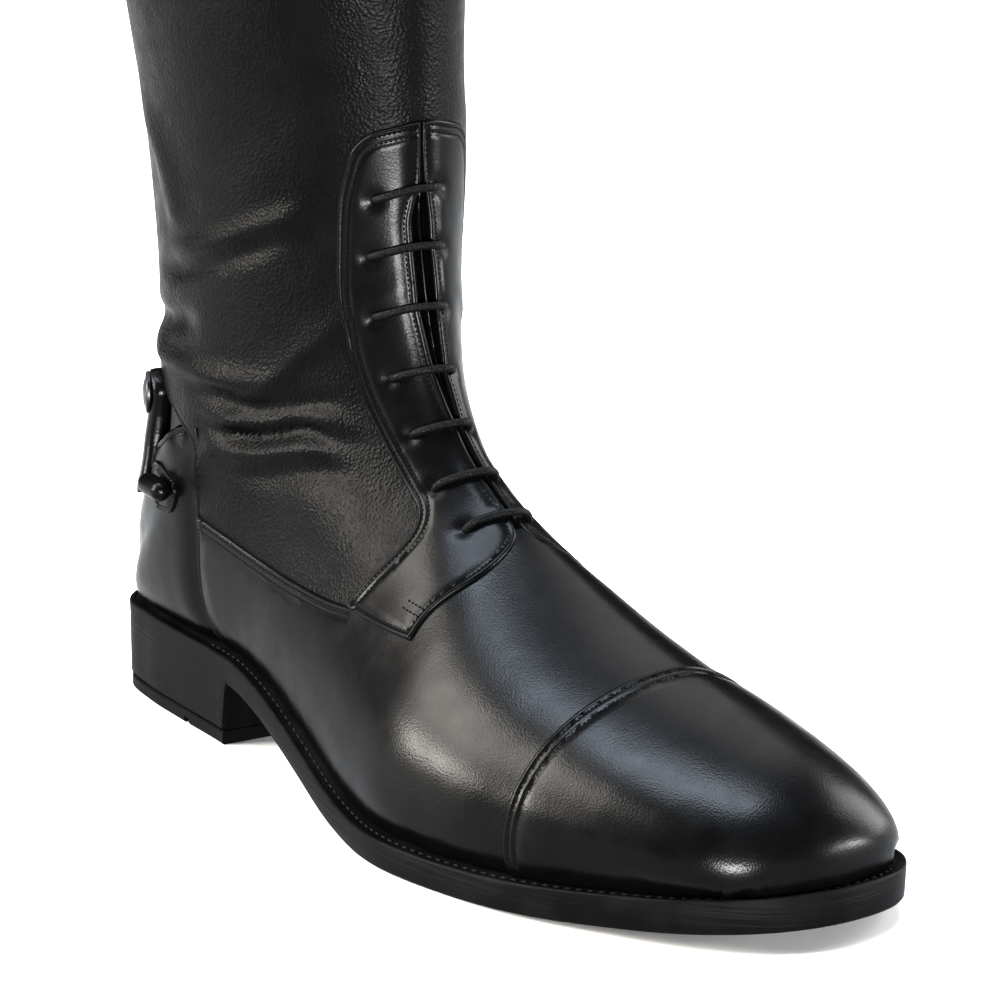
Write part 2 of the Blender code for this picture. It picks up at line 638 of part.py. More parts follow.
def build_counter():
    """Stiff back piece over the heel, cut from the upper's own form by its outline from the side."""
    stations = upper_stations(13, 24)
    work = bmesh.new()
    points = grid_faces(work, skin_grid(stations), SIDE_COLUMNS)
    back_bridge(work, points, stations, LAST_STATION)
    counter = add_piece("heel_counter", mesh_from(work, "heel_counter"), CALF, 0.32)
    add_solidify(counter, COUNTER_GAP, COUNTER_GAP + COUNTER_THICK)
    floor = feather_height(0.0) + COUNTER_LOW_EDGE
    outline = [SidePoint(point.forward, max(point.up, floor)) for point in COUNTER_OUTLINE]
    add_boolean(counter, "INTERSECT", side_prism("counter_outline", outline))


def build_facings():
    """Smooth lace panels on each side of the slit, cut by their outline from the side."""
    cutter = side_prism("facing_outline", FACING_OUTLINE)
    for name, lateral in (("facing_lateral", True), ("facing_medial", False)):
        work = bmesh.new()
        grid = skin_grid(upper_stations(10, 25), last=SIDE_COLUMNS - 3, sides=(lateral,))
        grid_faces(work, grid, 0 if lateral else SIDE_COLUMNS)
        facing = add_piece(name, mesh_from(work, name), CALF, 0.3)
        add_solidify(facing, GAP, GAP + FACING_THICK)
        add_boolean(facing, "INTERSECT", cutter)


def build_tongue():
    """Strip behind the lacing slit."""
    work = bmesh.new()
    grid_faces(work, skin_grid(upper_stations(*TONGUE_STATIONS), last=TONGUE_COLUMNS), TONGUE_COLUMNS)
    tongue = add_piece("tongue", mesh_from(work, "tongue"), CALF, 0.4)
    add_solidify(tongue, -WALL - GAP - TONGUE_THICK, -WALL - GAP)


def add_tube(name, points, radius, radii, colour, roughness):
    """Add a round cord or roll through points in millimetres, with its ends shut."""
    curve = bpy.data.curves.new(name, "CURVE")
    curve.dimensions = "3D"
    curve.bevel_depth = radius * MM
    curve.bevel_resolution = 2
    curve.use_fill_caps = True
    spline = curve.splines.new("POLY")
    spline.points.add(len(points) - 1)
    for point, place, size in zip(spline.points, to_world(points), radii):
        point.co = (*place, 1.0)
        point.radius = size
    return add_piece(name, curve, colour, roughness)


def build_lacing():
    """Elastic lace as separate bars across the slit, lying on the lace panels."""
    radius = LACE_DIAMETER / 2.0
    offset = GAP + FACING_THICK + LACE_GAP + radius
    shares = np.linspace(-1.0, 1.0, 7)
    for number, bar in enumerate(LACE_BARS, start=1):
        points = []
        for share in shares:
            station = bar.middle + (bar.lateral_end - bar.middle) * max(share, 0.0)
            reach = share * (bar.lateral if share >= 0.0 else bar.medial)
            points.append(skin(station, reach, offset))
        add_tube(f"lace_bar_{number}", points, radius, np.ones(len(shares)), LACE, 0.6)


def back_frame(station):
    """Return the middle of the back at a station, with its outward and upward directions."""
    place = skin_point(station, half_length(station, True))
    step = 0.02
    low, high = max(station - step, 0.0), min(station + step, LAST_STATION)
    upward = skin_point(high, half_length(high, True)) - skin_point(low, half_length(low, True))
    upward /= np.linalg.norm(upward)
    outward = np.array([-upward[2], 0.0, upward[0]])
    return place, outward, upward


def build_zip_tape():
    """Closed zip in the slit of the back: a tape with the coil standing up along its middle."""
    profile = [(point.right, point.out) for point in ZIP_PROFILE]
    profile += [(-right, out) for right, out in reversed(profile)]
    rings = []
    for station in [ZIP_START + 0.06] + list(range(ZIP_START + 1, LAST_STATION + 1)):
        place, outward, _ = back_frame(station)
        rings.append([place + outward * out + np.array([0.0, right, 0.0]) for right, out in profile])
    add_piece("zip_tape", ring_loft("zip_tape", rings, False), ZIP, 0.6)


def back_station(up):
    """Return the station whose section meets the middle of the back at a height."""
    low, high = float(HEEL_STATION), float(LAST_STATION)
    for _ in range(HALVINGS):
        middle = (low + high) / 2.0
        if back_frame(middle)[0][2] < up:
            low = middle
        else:
            high = middle
    return low


def build_zip_slider():
    """Slider at the top of the closed zip, with the bridge that carries its pull tab."""
    place, outward, upward = back_frame(back_station(SLIDER_UP))
    coil_top = max(point.out for point in ZIP_PROFILE)
    foot = coil_top + GAP
    half_length_up = SLIDER_LENGTH / 2.0
    body = [(-half_length_up, foot), (half_length_up, foot),
            (half_length_up, foot + SLIDER_THICK), (-half_length_up, foot + SLIDER_THICK)]
    arch = BRIDGE_LENGTH / 2.0
    crown = foot + SLIDER_THICK + BRIDGE_HEIGHT
    root = foot + SLIDER_THICK / 2.0
    bridge = [(-arch, root), (-arch, crown - BRIDGE_BAR), (BRIDGE_BAR - arch, crown),
              (arch - BRIDGE_BAR, crown), (arch, crown - BRIDGE_BAR), (arch, root),
              (arch - BRIDGE_BAR, root), (arch - BRIDGE_BAR, crown - BRIDGE_BAR),
              (BRIDGE_BAR - arch, crown - BRIDGE_BAR), (BRIDGE_BAR - arch, root)]

    def block(name, outline, width):
        rings = [[place + upward * along + outward * out + np.array([0.0, side, 0.0])
                  for along, out in outline] for side in (-width / 2.0, width / 2.0)]
        return ring_loft(name, rings, False)

    slider = add_piece("zip_slider", block("zip_slider", body, SLIDER_WIDTH), STEEL, 0.35, 1.0)
    add_boolean(slider, "UNION", add_cutter("zip_bridge", block("zip_bridge", bridge, BRIDGE_WIDTH)))
    middle = (foot + SLIDER_THICK + crown - BRIDGE_BAR) / 2.0
    return place + outward * middle


def build_pull_tab(hinge):
    """Flat tab that hangs from the slider's bridge by the bar above its eye."""
    half, bar, eye = TAB_WIDTH / 2.0, TAB_THICK / 2.0, TAB_EYE_WIDTH / 2.0
    end, shoulder, cheek = TAB_LENGTH, TAB_LENGTH - 4.0, TAB_LENGTH - 0.8
    outer = [(-half, bar), (-half, -shoulder), (-half * 0.6, -cheek), (0.0, -end),
             (half * 0.6, -cheek), (half, -shoulder), (half, bar)]
    inner = [(-eye, -bar), (eye, -bar), (eye, -bar - TAB_EYE_LENGTH), (-eye, -bar - TAB_EYE_LENGTH)]
    curve = bpy.data.curves.new("zip_pull_tab", "CURVE")
    curve.dimensions = "2D"
    curve.fill_mode = "BOTH"
    curve.extrude = TAB_THICK / 2.0 * MM
    for outline in (outer, inner):
        spline = curve.splines.new("POLY")
        spline.points.add(len(outline) - 1)
        spline.use_cyclic_u = True
        for point, (right, up) in zip(spline.points, outline):
            point.co = (right * MM, up * MM, 0.0, 1.0)
    tab = add_piece("zip_pull_tab", curve, STEEL, 0.35, 1.0)
    tab.location = to_world(hinge)
    tab.rotation_euler = (math.pi / 2.0, 0.0, 0.0)


def strap_frames():
    """Return the strap's middle line on its inner face, with its outward directions and those across it."""
    middle, outward = [], []
    for point in STRAP_LINE:
        base = skin_at_height(point.up, point.reach, 0.0)
        away = skin_at_height(point.up, point.reach, 1.0) - base
        middle.append(base + away * point.stand)
        outward.append(away)
    middle = np.array(middle)
    along = np.gradient(middle, axis=0)
    across = np.cross(along, outward)
    across /= np.linalg.norm(across, axis=1)[:, None]
    outward = np.cross(across, along)
    outward /= np.linalg.norm(outward, axis=1)[:, None]
    return middle, outward, across


def build_guard_strap():
    """Upright strap on the lateral back corner of the counter, with its press stud."""
    middle, outward, across = strap_frames()
    rings = []
    for place, away, side in zip(middle, outward, across * STRAP_WIDTH / 2.0):
        outer = place + away * STRAP_THICK
        rings.append([place + side, place - side, outer - side, outer + side])
    add_piece("guard_strap", ring_loft("guard_strap", rings, False), CALF, 0.4)
    height = SNAP_HEIGHT / 2.0
    place = np.array([np.interp(SNAP_UP, middle[:, 2], middle[:, axis]) for axis in range(3)])
    away = np.array([np.interp(SNAP_UP, middle[:, 2], outward[:, axis]) for axis in range(3)])
    work = bmesh.new()
    bmesh.ops.create_uvsphere(work, u_segments=16, v_segments=8, radius=MM)
    bmesh.ops.scale(work, verts=work.verts, vec=(SNAP_DIAMETER / 2.0, SNAP_DIAMETER / 2.0, height))
    snap = add_piece("snap_cap", mesh_from(work, "snap_cap"), STEEL, 0.3, 1.0)
    snap.location = to_world(place + away * (STRAP_THICK + SNAP_GAP + height))
    facing = Vector(to_world(away) - to_world(np.zeros(3)))
    snap.rotation_euler = facing.to_track_quat("Z", "Y").to_euler()


def build_spur_rests():
    """Covered roll on each side of the counter that carries a spur's arm."""
    seat = COUNTER_GAP + COUNTER_THICK + GAP
    radii = np.array(SPUR_REST_ENDS)
    reaches = np.linspace(*SPUR_REST_REACH, len(radii))
    for name, side in (("spur_rest_lateral", 1.0), ("spur_rest_medial", -1.0)):
        points = [skin_at_height(SPUR_REST_UP, side * reach, seat + radius * SPUR_REST_RADIUS)
                  for reach, radius in zip(reaches, radii)]
        add_tube(name, points, SPUR_REST_RADIUS, radii, CALF, 0.35)


def main():
    """Build every piece of the boot."""
    clear_scene()
    build_outsole()
    build_top_lift()
    build_welt()
    build_insole()
    build_upper()
    build_toe_cap()
    build_counter()
    build_facings()
    build_tongue()
    build_lacing()
    build_zip_tape()
    build_pull_tab(build_zip_slider())
    build_guard_strap()
    build_spur_rests()


if __name__ == "__main__":
    main()
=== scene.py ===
"""Field boot for the right foot, dressed on its solids: leather panels, folds, stitching, lacing and sole.

Sizes are in millimetres in the boot's own directions: forward from the back of the heel, right of the
heel's middle line (the outer, lateral side is positive) and up from the floor. The toe points to -Y.
A place on the upper is given as a station along it and a reach round it from the ridge.
"""

import logging
import math
from dataclasses import dataclass, field
from enum import Enum
from typing import Callable, NamedTuple

import bpy
import numpy as np
from mathutils import Matrix, Vector, geometry, kdtree


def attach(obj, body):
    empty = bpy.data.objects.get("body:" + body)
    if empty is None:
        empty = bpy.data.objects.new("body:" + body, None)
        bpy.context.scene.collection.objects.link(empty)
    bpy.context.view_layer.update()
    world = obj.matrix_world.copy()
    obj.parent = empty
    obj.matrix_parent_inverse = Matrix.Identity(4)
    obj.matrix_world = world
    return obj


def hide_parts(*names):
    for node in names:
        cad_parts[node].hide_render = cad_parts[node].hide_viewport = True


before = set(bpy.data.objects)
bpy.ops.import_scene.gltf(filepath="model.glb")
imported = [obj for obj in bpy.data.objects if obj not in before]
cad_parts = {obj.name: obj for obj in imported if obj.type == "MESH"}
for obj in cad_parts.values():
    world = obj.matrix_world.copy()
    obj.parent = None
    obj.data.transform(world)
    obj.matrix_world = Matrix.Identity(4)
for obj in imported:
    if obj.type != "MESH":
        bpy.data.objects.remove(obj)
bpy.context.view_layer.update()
LOG = logging.getLogger("field_boot")

# Short names for types
Array = np.ndarray
Triple = tuple[float, float, float]
Socket = bpy.types.NodeSocket
Material = bpy.types.Material
Item = bpy.types.Object

# Placing, as in the solids
MM = 0.001
CENTRE_FORWARD = 140.316
CENTRE_RIGHT = -2.559
GAP = 0.3
BOOT = "boot"

# Sole, as in the solids
TOE_FORWARD = 296.5
TOE_RIGHT = -20.5
HEEL_BREAST = 77.0
HEEL_BREAST_LEAN = 2.5
HEEL_HEIGHT = 18.2
WAIST_END = 176.0
TREAD_END = 206.0
TOE_SPRING = 6.4
SOLE_EDGE = 6.8
TOE_GAIN = 1.5
WELT_THICK = 1.0
TOP_LIFT_THICK = 3.8
FEATHER_INSET = 6.5
FEATHER_GAP = 1.0
OUTLINE_STEPS = 24


class SoleStation(NamedTuple):
    """The sole's edge on both sides at one forward place."""

    forward: float
    lateral: float
    medial: float


SOLE_STATIONS = tuple(SoleStation(*row) for row in (
    (3.0, 14.5, -14.5),
    (13.0, 26.0, -26.0),
    (30.0, 29.6, -30.0),
    (50.0, 30.8, -31.0),
    (76.0, 31.8, -30.5),
    (100.0, 34.6, -28.0),
    (130.0, 39.3, -27.5),
    (160.0, 44.7, -33.0),
    (187.0, 47.8, -44.0),
    (215.0, 43.3, -52.5),
    (236.0, 36.8, -56.0),
    (257.0, 26.2, -57.0),
    (277.0, 13.8, -53.4),
    (291.5, -2.5, -41.2),
))


class Section(NamedTuple):
    """One section of the upper, from a point on the ridge to a low end on the feather line or the back."""

    top_f: float
    top_r: float
    top_u: float
    low_f: float
    rise: float
    share: float
    lateral: float
    medial: float
    lateral_crown: float
    medial_crown: float
    seat: float


SECTIONS = tuple(Section(*row) for row in (
    (291.0, -20.5, 16.0, 283.0, 0.0, 0.03, -1.0, -40.6, 1.70, 1.70, 2.0),
    (292.4, -20.5, 19.1, 280.5, 0.0, 0.15, 5.0, -43.6, 1.85, 1.80, 2.0),
    (292.4, -20.5, 23.2, 277.5, 0.0, 0.22, 8.0, -45.3, 2.00, 1.88, 2.0),
    (290.2, -20.4, 28.3, 273.0, 0.0, 0.25, 11.8, -47.8, 2.00, 1.93, 2.0),
    (285.0, -20.3, 34.0, 266.5, 0.0, 0.25, 16.2, -49.8, 2.00, 1.90, 2.0),
    (275.5, -19.8, 39.8, 258.0, 0.0, 0.25, 21.0, -51.0, 2.00, 1.88, 2.0),
    (261.5, -18.5, 45.5, 247.5, 0.0, 0.24, 26.5, -51.4, 2.00, 1.83, 2.0),
    (246.5, -17.0, 50.6, 238.0, 0.0, 0.22, 31.2, -51.0, 2.00, 1.75, 2.0),
    (231.0, -15.0, 55.4, 228.5, 0.0, 0.20, 35.3, -49.9, 2.00, 1.67, 2.0),
    (210.0, -12.0, 62.5, 207.0, 0.0, 0.18, 42.0, -47.5, 1.95, 1.66, 2.0),
    (190.0, -9.0, 70.8, 185.0, 0.0, 0.16, 44.8, -42.0, 1.85, 1.74, 2.0),
    (172.0, -5.5, 80.2, 160.0, 0.0, 0.16, 41.7, -34.0, 1.75, 1.80, 2.0),
    (160.0, -3.0, 89.4, 132.0, 0.0, 0.18, 36.8, -30.0, 1.65, 1.70, 2.0),
    (150.5, -1.5, 99.5, 104.0, 0.0, 0.22, 33.0, -28.0, 1.60, 1.60, 2.1),
    (144.8, -0.5, 109.5, 78.0, 0.0, 0.28, 31.5, -29.0, 1.60, 1.58, 2.2),
    (141.2, 0.0, 119.0, 52.0, 0.0, 0.34, 32.0, -30.5, 1.60, 1.58, 2.3),
    (138.8, 0.0, 128.5, 30.0, 0.0, 0.40, 33.0, -31.5, 1.62, 1.62, 2.4),
    (137.4, 0.0, 136.0, 14.0, 0.0, 0.45, 33.5, -32.5, 1.65, 1.65, 2.4),
    (136.3, 0.0, 142.0, 6.5, 0.0, 0.50, 34.0, -33.0, 1.70, 1.70, 2.4),
    (135.2, 0.0, 148.0, 2.4, 9.0, 0.50, 34.0, -33.0, 1.72, 1.74, 2.25),
    (134.2, 0.0, 155.0, 4.5, 19.0, 0.50, 34.0, -33.0, 1.74, 1.78, 1.95),
    (133.5, 0.0, 162.0, 6.8, 30.0, 0.50, 34.0, -33.5, 1.76, 1.82, 1.86),
    (132.9, 0.0, 170.0, 9.3, 42.0, 0.50, 34.0, -34.0, 1.78, 1.86, 1.86),
    (132.5, 0.0, 179.0, 11.6, 55.0, 0.50, 34.2, -34.5, 1.81, 1.90, 1.95),
    (132.3, 0.0, 189.0, 13.3, 70.0, 0.50, 34.6, -35.0, 1.84, 1.93, 2.02),
    (132.3, 0.0, 200.0, 14.0, 87.0, 0.50, 35.0, -33.6, 1.87, 1.95, 2.03),
    (132.5, 0.0, 213.0, 13.5, 107.0, 0.50, 36.8, -33.0, 1.90, 1.97, 2.0),
    (133.0, 0.0, 228.0, 12.0, 130.0, 0.50, 39.0, -33.6, 1.93, 1.98, 2.0),
    (133.8, 0.0, 247.0, 6.0, 158.0, 0.50, 41.6, -34.8, 1.96, 2.00, 2.0),
    (135.0, 0.0, 272.0, -4.0, 195.0, 0.50, 44.0, -38.0, 2.00, 2.00, 2.0),
    (137.0, 0.0, 305.0, -9.5, 245.0, 0.50, 47.5, -43.5, 2.00, 2.00, 2.0),
    (138.5, 0.0, 345.0, -12.0, 302.0, 0.50, 50.0, -50.0, 2.00, 2.00, 2.0),
    (139.0, 0.0, 390.0, -12.0, 355.0, 0.50, 52.0, -52.0, 2.00, 2.00, 2.0),
    (138.5, 0.0, 432.0, -10.0, 398.0, 0.50, 52.0, -52.0, 2.00, 2.00, 2.0),
    (138.0, 0.0, 470.0, -8.0, 434.0, 0.50, 51.5, -51.5, 2.00, 2.00, 2.0),
))
LAST_STATION = len(SECTIONS) - 1
HEEL_STATION = max(index for index, row in enumerate(SECTIONS) if row.rise == 0.0)


class SidePoint(NamedTuple):
    """A place on the upper as seen from the side."""

    forward: float
    up: float


def side_line(*places: tuple[float, float]) -> tuple[SidePoint, ...]:
    """Return a line of side points from their forward and up."""
    return tuple(SidePoint(*place) for place in places)


class Spot(NamedTuple):
    """A place on the upper by its station and its reach from the ridge."""

    station: float
    reach: float


class SlitPoint(NamedTuple):
    """The reaches of the lacing slit's two edges at one station."""

    station: float
    lateral: float
    medial: float


SLIT_EDGES = tuple(SlitPoint(*row) for row in (
    (8.5, 0.3, -0.3), (10.0, 0.8, 0.2), (11.5, 0.9, -0.3),
    (13.5, 1.0, 0.0), (15.0, 2.4, 0.0), (17.0, 4.5, 0.0),
    (20.5, 4.7, 0.0), (21.5, 2.2, 0.9), (22.5, 1.8, 1.2),
    (24.5, 1.8, 1.2), (26.5, 0.3, -0.3),
))


class LaceBar(NamedTuple):
    """One bar of lace: stations of its middle and its lateral end, and its reach round each side."""

    middle: float
    lateral_end: float
    lateral: float
    medial: float


LACE_BARS = tuple(LaceBar(*row) for row in (
    (21.42, 21.60, 15.0, 4.2),
    (19.27, 19.72, 17.3, 3.8),
    (16.70, 17.35, 17.6, 3.0),
    (14.83, 15.23, 14.7, 3.4),
    (13.37, 13.66, 12.6, 3.8),
    (12.18, 12.41, 13.2, 4.2),
    (11.19, 11.36, 13.4, 5.2),
))


class StrapPoint(NamedTuple):
    """The guard strap at one height: its middle's reach and how far its inner face stands off."""

    up: float
    reach: float
    stand: float


STRAP_LINE = tuple(StrapPoint(*row) for row in (
    (63.0, 142.9, 2.3), (70.0, 143.6, 2.3), (76.0, 144.0, 2.4),
    (80.0, 144.0, 2.3), (86.0, 143.3, 1.8), (93.0, 141.5, 1.7),
    (98.0, 140.0, 1.5),
))


def to_world(places: Array) -> Array:
    """Turn boot sizes in millimetres into scene places in metres.

    Args:
        places: forward, right and up in the last axis.

    Returns:
        The same places as X, Y and Z.
    """
    places = np.asarray(places, dtype=float)
    turned = [-(places[..., 1] - CENTRE_RIGHT), -(places[..., 0] - CENTRE_FORWARD), places[..., 2]]
    return np.stack(turned, axis=-1) * MM


def curve_through(points: Array, steps: int, closed: bool) -> Array:
    """Return a smooth curve through points, with the given steps between each two.

    Args:
        points: the points in order, one a row.
        steps: how many places from each point up to the next.
        closed: whether the last point leads back to the first.

    Returns:
        The curve's places, with the last point only where it is open.
    """
    count = len(points)
    if closed:
        around = [points[(index - 1) % count] for index in range(count + 3)]
    else:
        around = [2.0 * points[0] - points[1], *points, 2.0 * points[-1] - points[-2]]
    curve = []
    for index in range(len(around) - 3):
        before, start, end, after = around[index:index + 4]
        knots = np.cumsum([0.0] + [max(np.linalg.norm(high - low), 1e-6) ** 0.5 for low, high in
                                   ((before, start), (start, end), (end, after))])
        for place in np.linspace(knots[1], knots[2], steps, endpoint=False):
            low = mix_at(place, knots[0], knots[1], before, start)
            middle = mix_at(place, knots[1], knots[2], start, end)
            high = mix_at(place, knots[2], knots[3], end, after)
            first = mix_at(place, knots[0], knots[2], low, middle)
            second = mix_at(place, knots[1], knots[3], middle, high)
            curve.append(mix_at(place, knots[1], knots[2], first, second))
    if not closed:
        curve.append(points[-1])
    return np.array(curve)


def mix_at(place: float, low: float, high: float, first: Array, second: Array) -> Array:
    """Return the point between first and second that belongs to a place between low and high."""
    part = (place - low) / (high - low)
    return first * (1.0 - part) + second * part


def eased_step(values: Array) -> Array:
    """Return a soft step from 0 to 1 over values from 0 to 1."""
    part = np.clip(values, 0.0, 1.0)
    return part * part * (3.0 - 2.0 * part)


def unit(vectors: Array) -> Array:
    """Return vectors brought to length one along the last axis."""
    return vectors / np.linalg.norm(vectors, axis=-1)[..., None]


def full_turn(steps: int) -> Array:
    """Return evenly spaced angles all the way round."""
    return np.linspace(0.0, 2.0 * math.pi, steps, endpoint=False)


def lengths_along(points: Array) -> Array:
    """Return the length of a line up to each of its points."""
    return np.append(0.0, np.cumsum(np.linalg.norm(np.diff(points, axis=0), axis=1)))


def tube(line: Array, radius: Array, around: int) -> Array:
    """Return rings of points round a line.

    Args:
        line: the places that the rings are centred on.
        radius: one radius, or one for each place.
        around: how many points each ring has.

    Returns:
        The points, one ring a row.
    """
    turn = full_turn(around)[None, :, None]
    along = unit(np.gradient(line, axis=0))
    first = unit(np.cross(along, (0.0, 0.0, 1.0)))
    second = np.cross(along, first)
    size = np.broadcast_to(radius, len(line))[:, None, None]
    return line[:, None] + size * (first[:, None] * np.cos(turn) + second[:, None] * np.sin(turn))


def resample(points: Array, measure: Array, spacing: float) -> Array:
    """Return points spaced evenly along a line.

    Args:
        points: the line's points in any coordinates.
        measure: the same points in millimetres, which the spacing is measured on.
        spacing: the distance wanted between points.

    Returns:
        New points from the first to the last.
    """
    length = lengths_along(measure)
    count = max(int(round(length[-1] / spacing)), 2)
    wanted = np.linspace(0.0, length[-1], count + 1)
    return np.stack([np.interp(wanted, length, points[:, axis]) for axis in range(points.shape[1])], axis=1)


class SoleForm:
    """The sole's edge seen from above, and the heights along it."""

    def __init__(self) -> None:
        """Work out the edge from the heel's back round the lateral side to the toe and back."""
        points = [(0.0, 0.0)]
        points += [(row.forward, row.lateral) for row in SOLE_STATIONS]
        points += [(TOE_FORWARD, TOE_RIGHT)]
        points += [(row.forward, row.medial) for row in reversed(SOLE_STATIONS)]
        self.edge = curve_through(np.array(points), OUTLINE_STEPS, closed=True)
        self.toe = (len(SOLE_STATIONS) + 1) * OUTLINE_STEPS

    def inset(self, distance: float) -> Array:
        """Return the sole's edge moved in by a distance."""
        along = unit(np.roll(self.edge, -1, axis=0) - np.roll(self.edge, 1, axis=0))
        return self.edge + np.stack([along[:, 1], -along[:, 0]], axis=1) * distance

    def right(self, forward: Array, distance: float, lateral: bool) -> Array:
        """Return how far right the edge, moved in by a distance, lies at forward places on one side."""
        line = self.inset(distance)
        side = line[:self.toe + 1] if lateral else np.vstack([line[self.toe:], line[:1]])[::-1]
        return np.interp(forward, side[:, 0], side[:, 1])

    @staticmethod
    def under(forward: Array) -> Array:
        """Return the height of the sole's underside: heel, arch, flat tread and toe spring."""
        waist = np.clip((WAIST_END - forward) / (WAIST_END - HEEL_BREAST), 0.0, 1.0)
        spring = np.clip((forward - TREAD_END) / (TOE_FORWARD - TREAD_END), 0.0, 1.0)
        return HEEL_HEIGHT * eased_step(waist) + TOE_SPRING * spring * spring

    def top(self, forward: Array) -> Array:
        """Return the height of the outsole's upper face: the edge grows a little towards the toe."""
        spring = np.clip((forward - TREAD_END) / (TOE_FORWARD - TREAD_END), 0.0, 1.0)
        return self.under(forward) + SOLE_EDGE + TOE_GAIN * spring

    def feather(self, forward: Array) -> Array:
        """Return the height of the line where the upper stands on the welt."""
        return self.top(forward) + GAP + WELT_THICK + FEATHER_GAP


class FoldSide(Enum):
    """Which side of the boot a fold is on."""

    LATERAL = 1.0
    BOTH = 0.0


@dataclass(frozen=True)
class Fold:
    """A soft trough or ridge in the leather along a line seen from the side.

    Attributes:
        line: the places that it runs through.
        depth: how far it stands out, or in where negative.
        width: how far from its line it fades.
        side: which side of the boot it is on.
    """

    line: tuple[SidePoint, ...]
    depth: float
    width: float
    side: FoldSide = FoldSide.LATERAL

    def relief(self, places: Array) -> Array:
        """Return how far the fold moves the leather out at places on it.

        Args:
            places: forward, right and up in the last axis.

        Returns:
            One distance for each place.
        """
        points = curve_through(np.array(self.line), 6, closed=False)
        flat = places[..., [0, 2]]
        nearest = np.full(flat.shape[:-1], np.inf)
        along = np.zeros(flat.shape[:-1])
        for index, (start, end) in enumerate(zip(points, points[1:])):
            step = end - start
            part = np.clip(((flat - start) @ step) / (step @ step), 0.0, 1.0)
            distance = np.linalg.norm(flat - start - part[..., None] * step, axis=-1)
            closer = distance < nearest
            nearest = np.where(closer, distance, nearest)
            along = np.where(closer, (index + part) / (len(points) - 1), along)
        fade = eased_step(along / 0.3) * eased_step((1.0 - along) / 0.3)
        height = self.depth * np.exp(-(nearest / self.width) ** 2) * fade
        if self.side is FoldSide.BOTH:
            return height
        return height * eased_step(0.5 + places[..., 1] * self.side.value / 16.0)


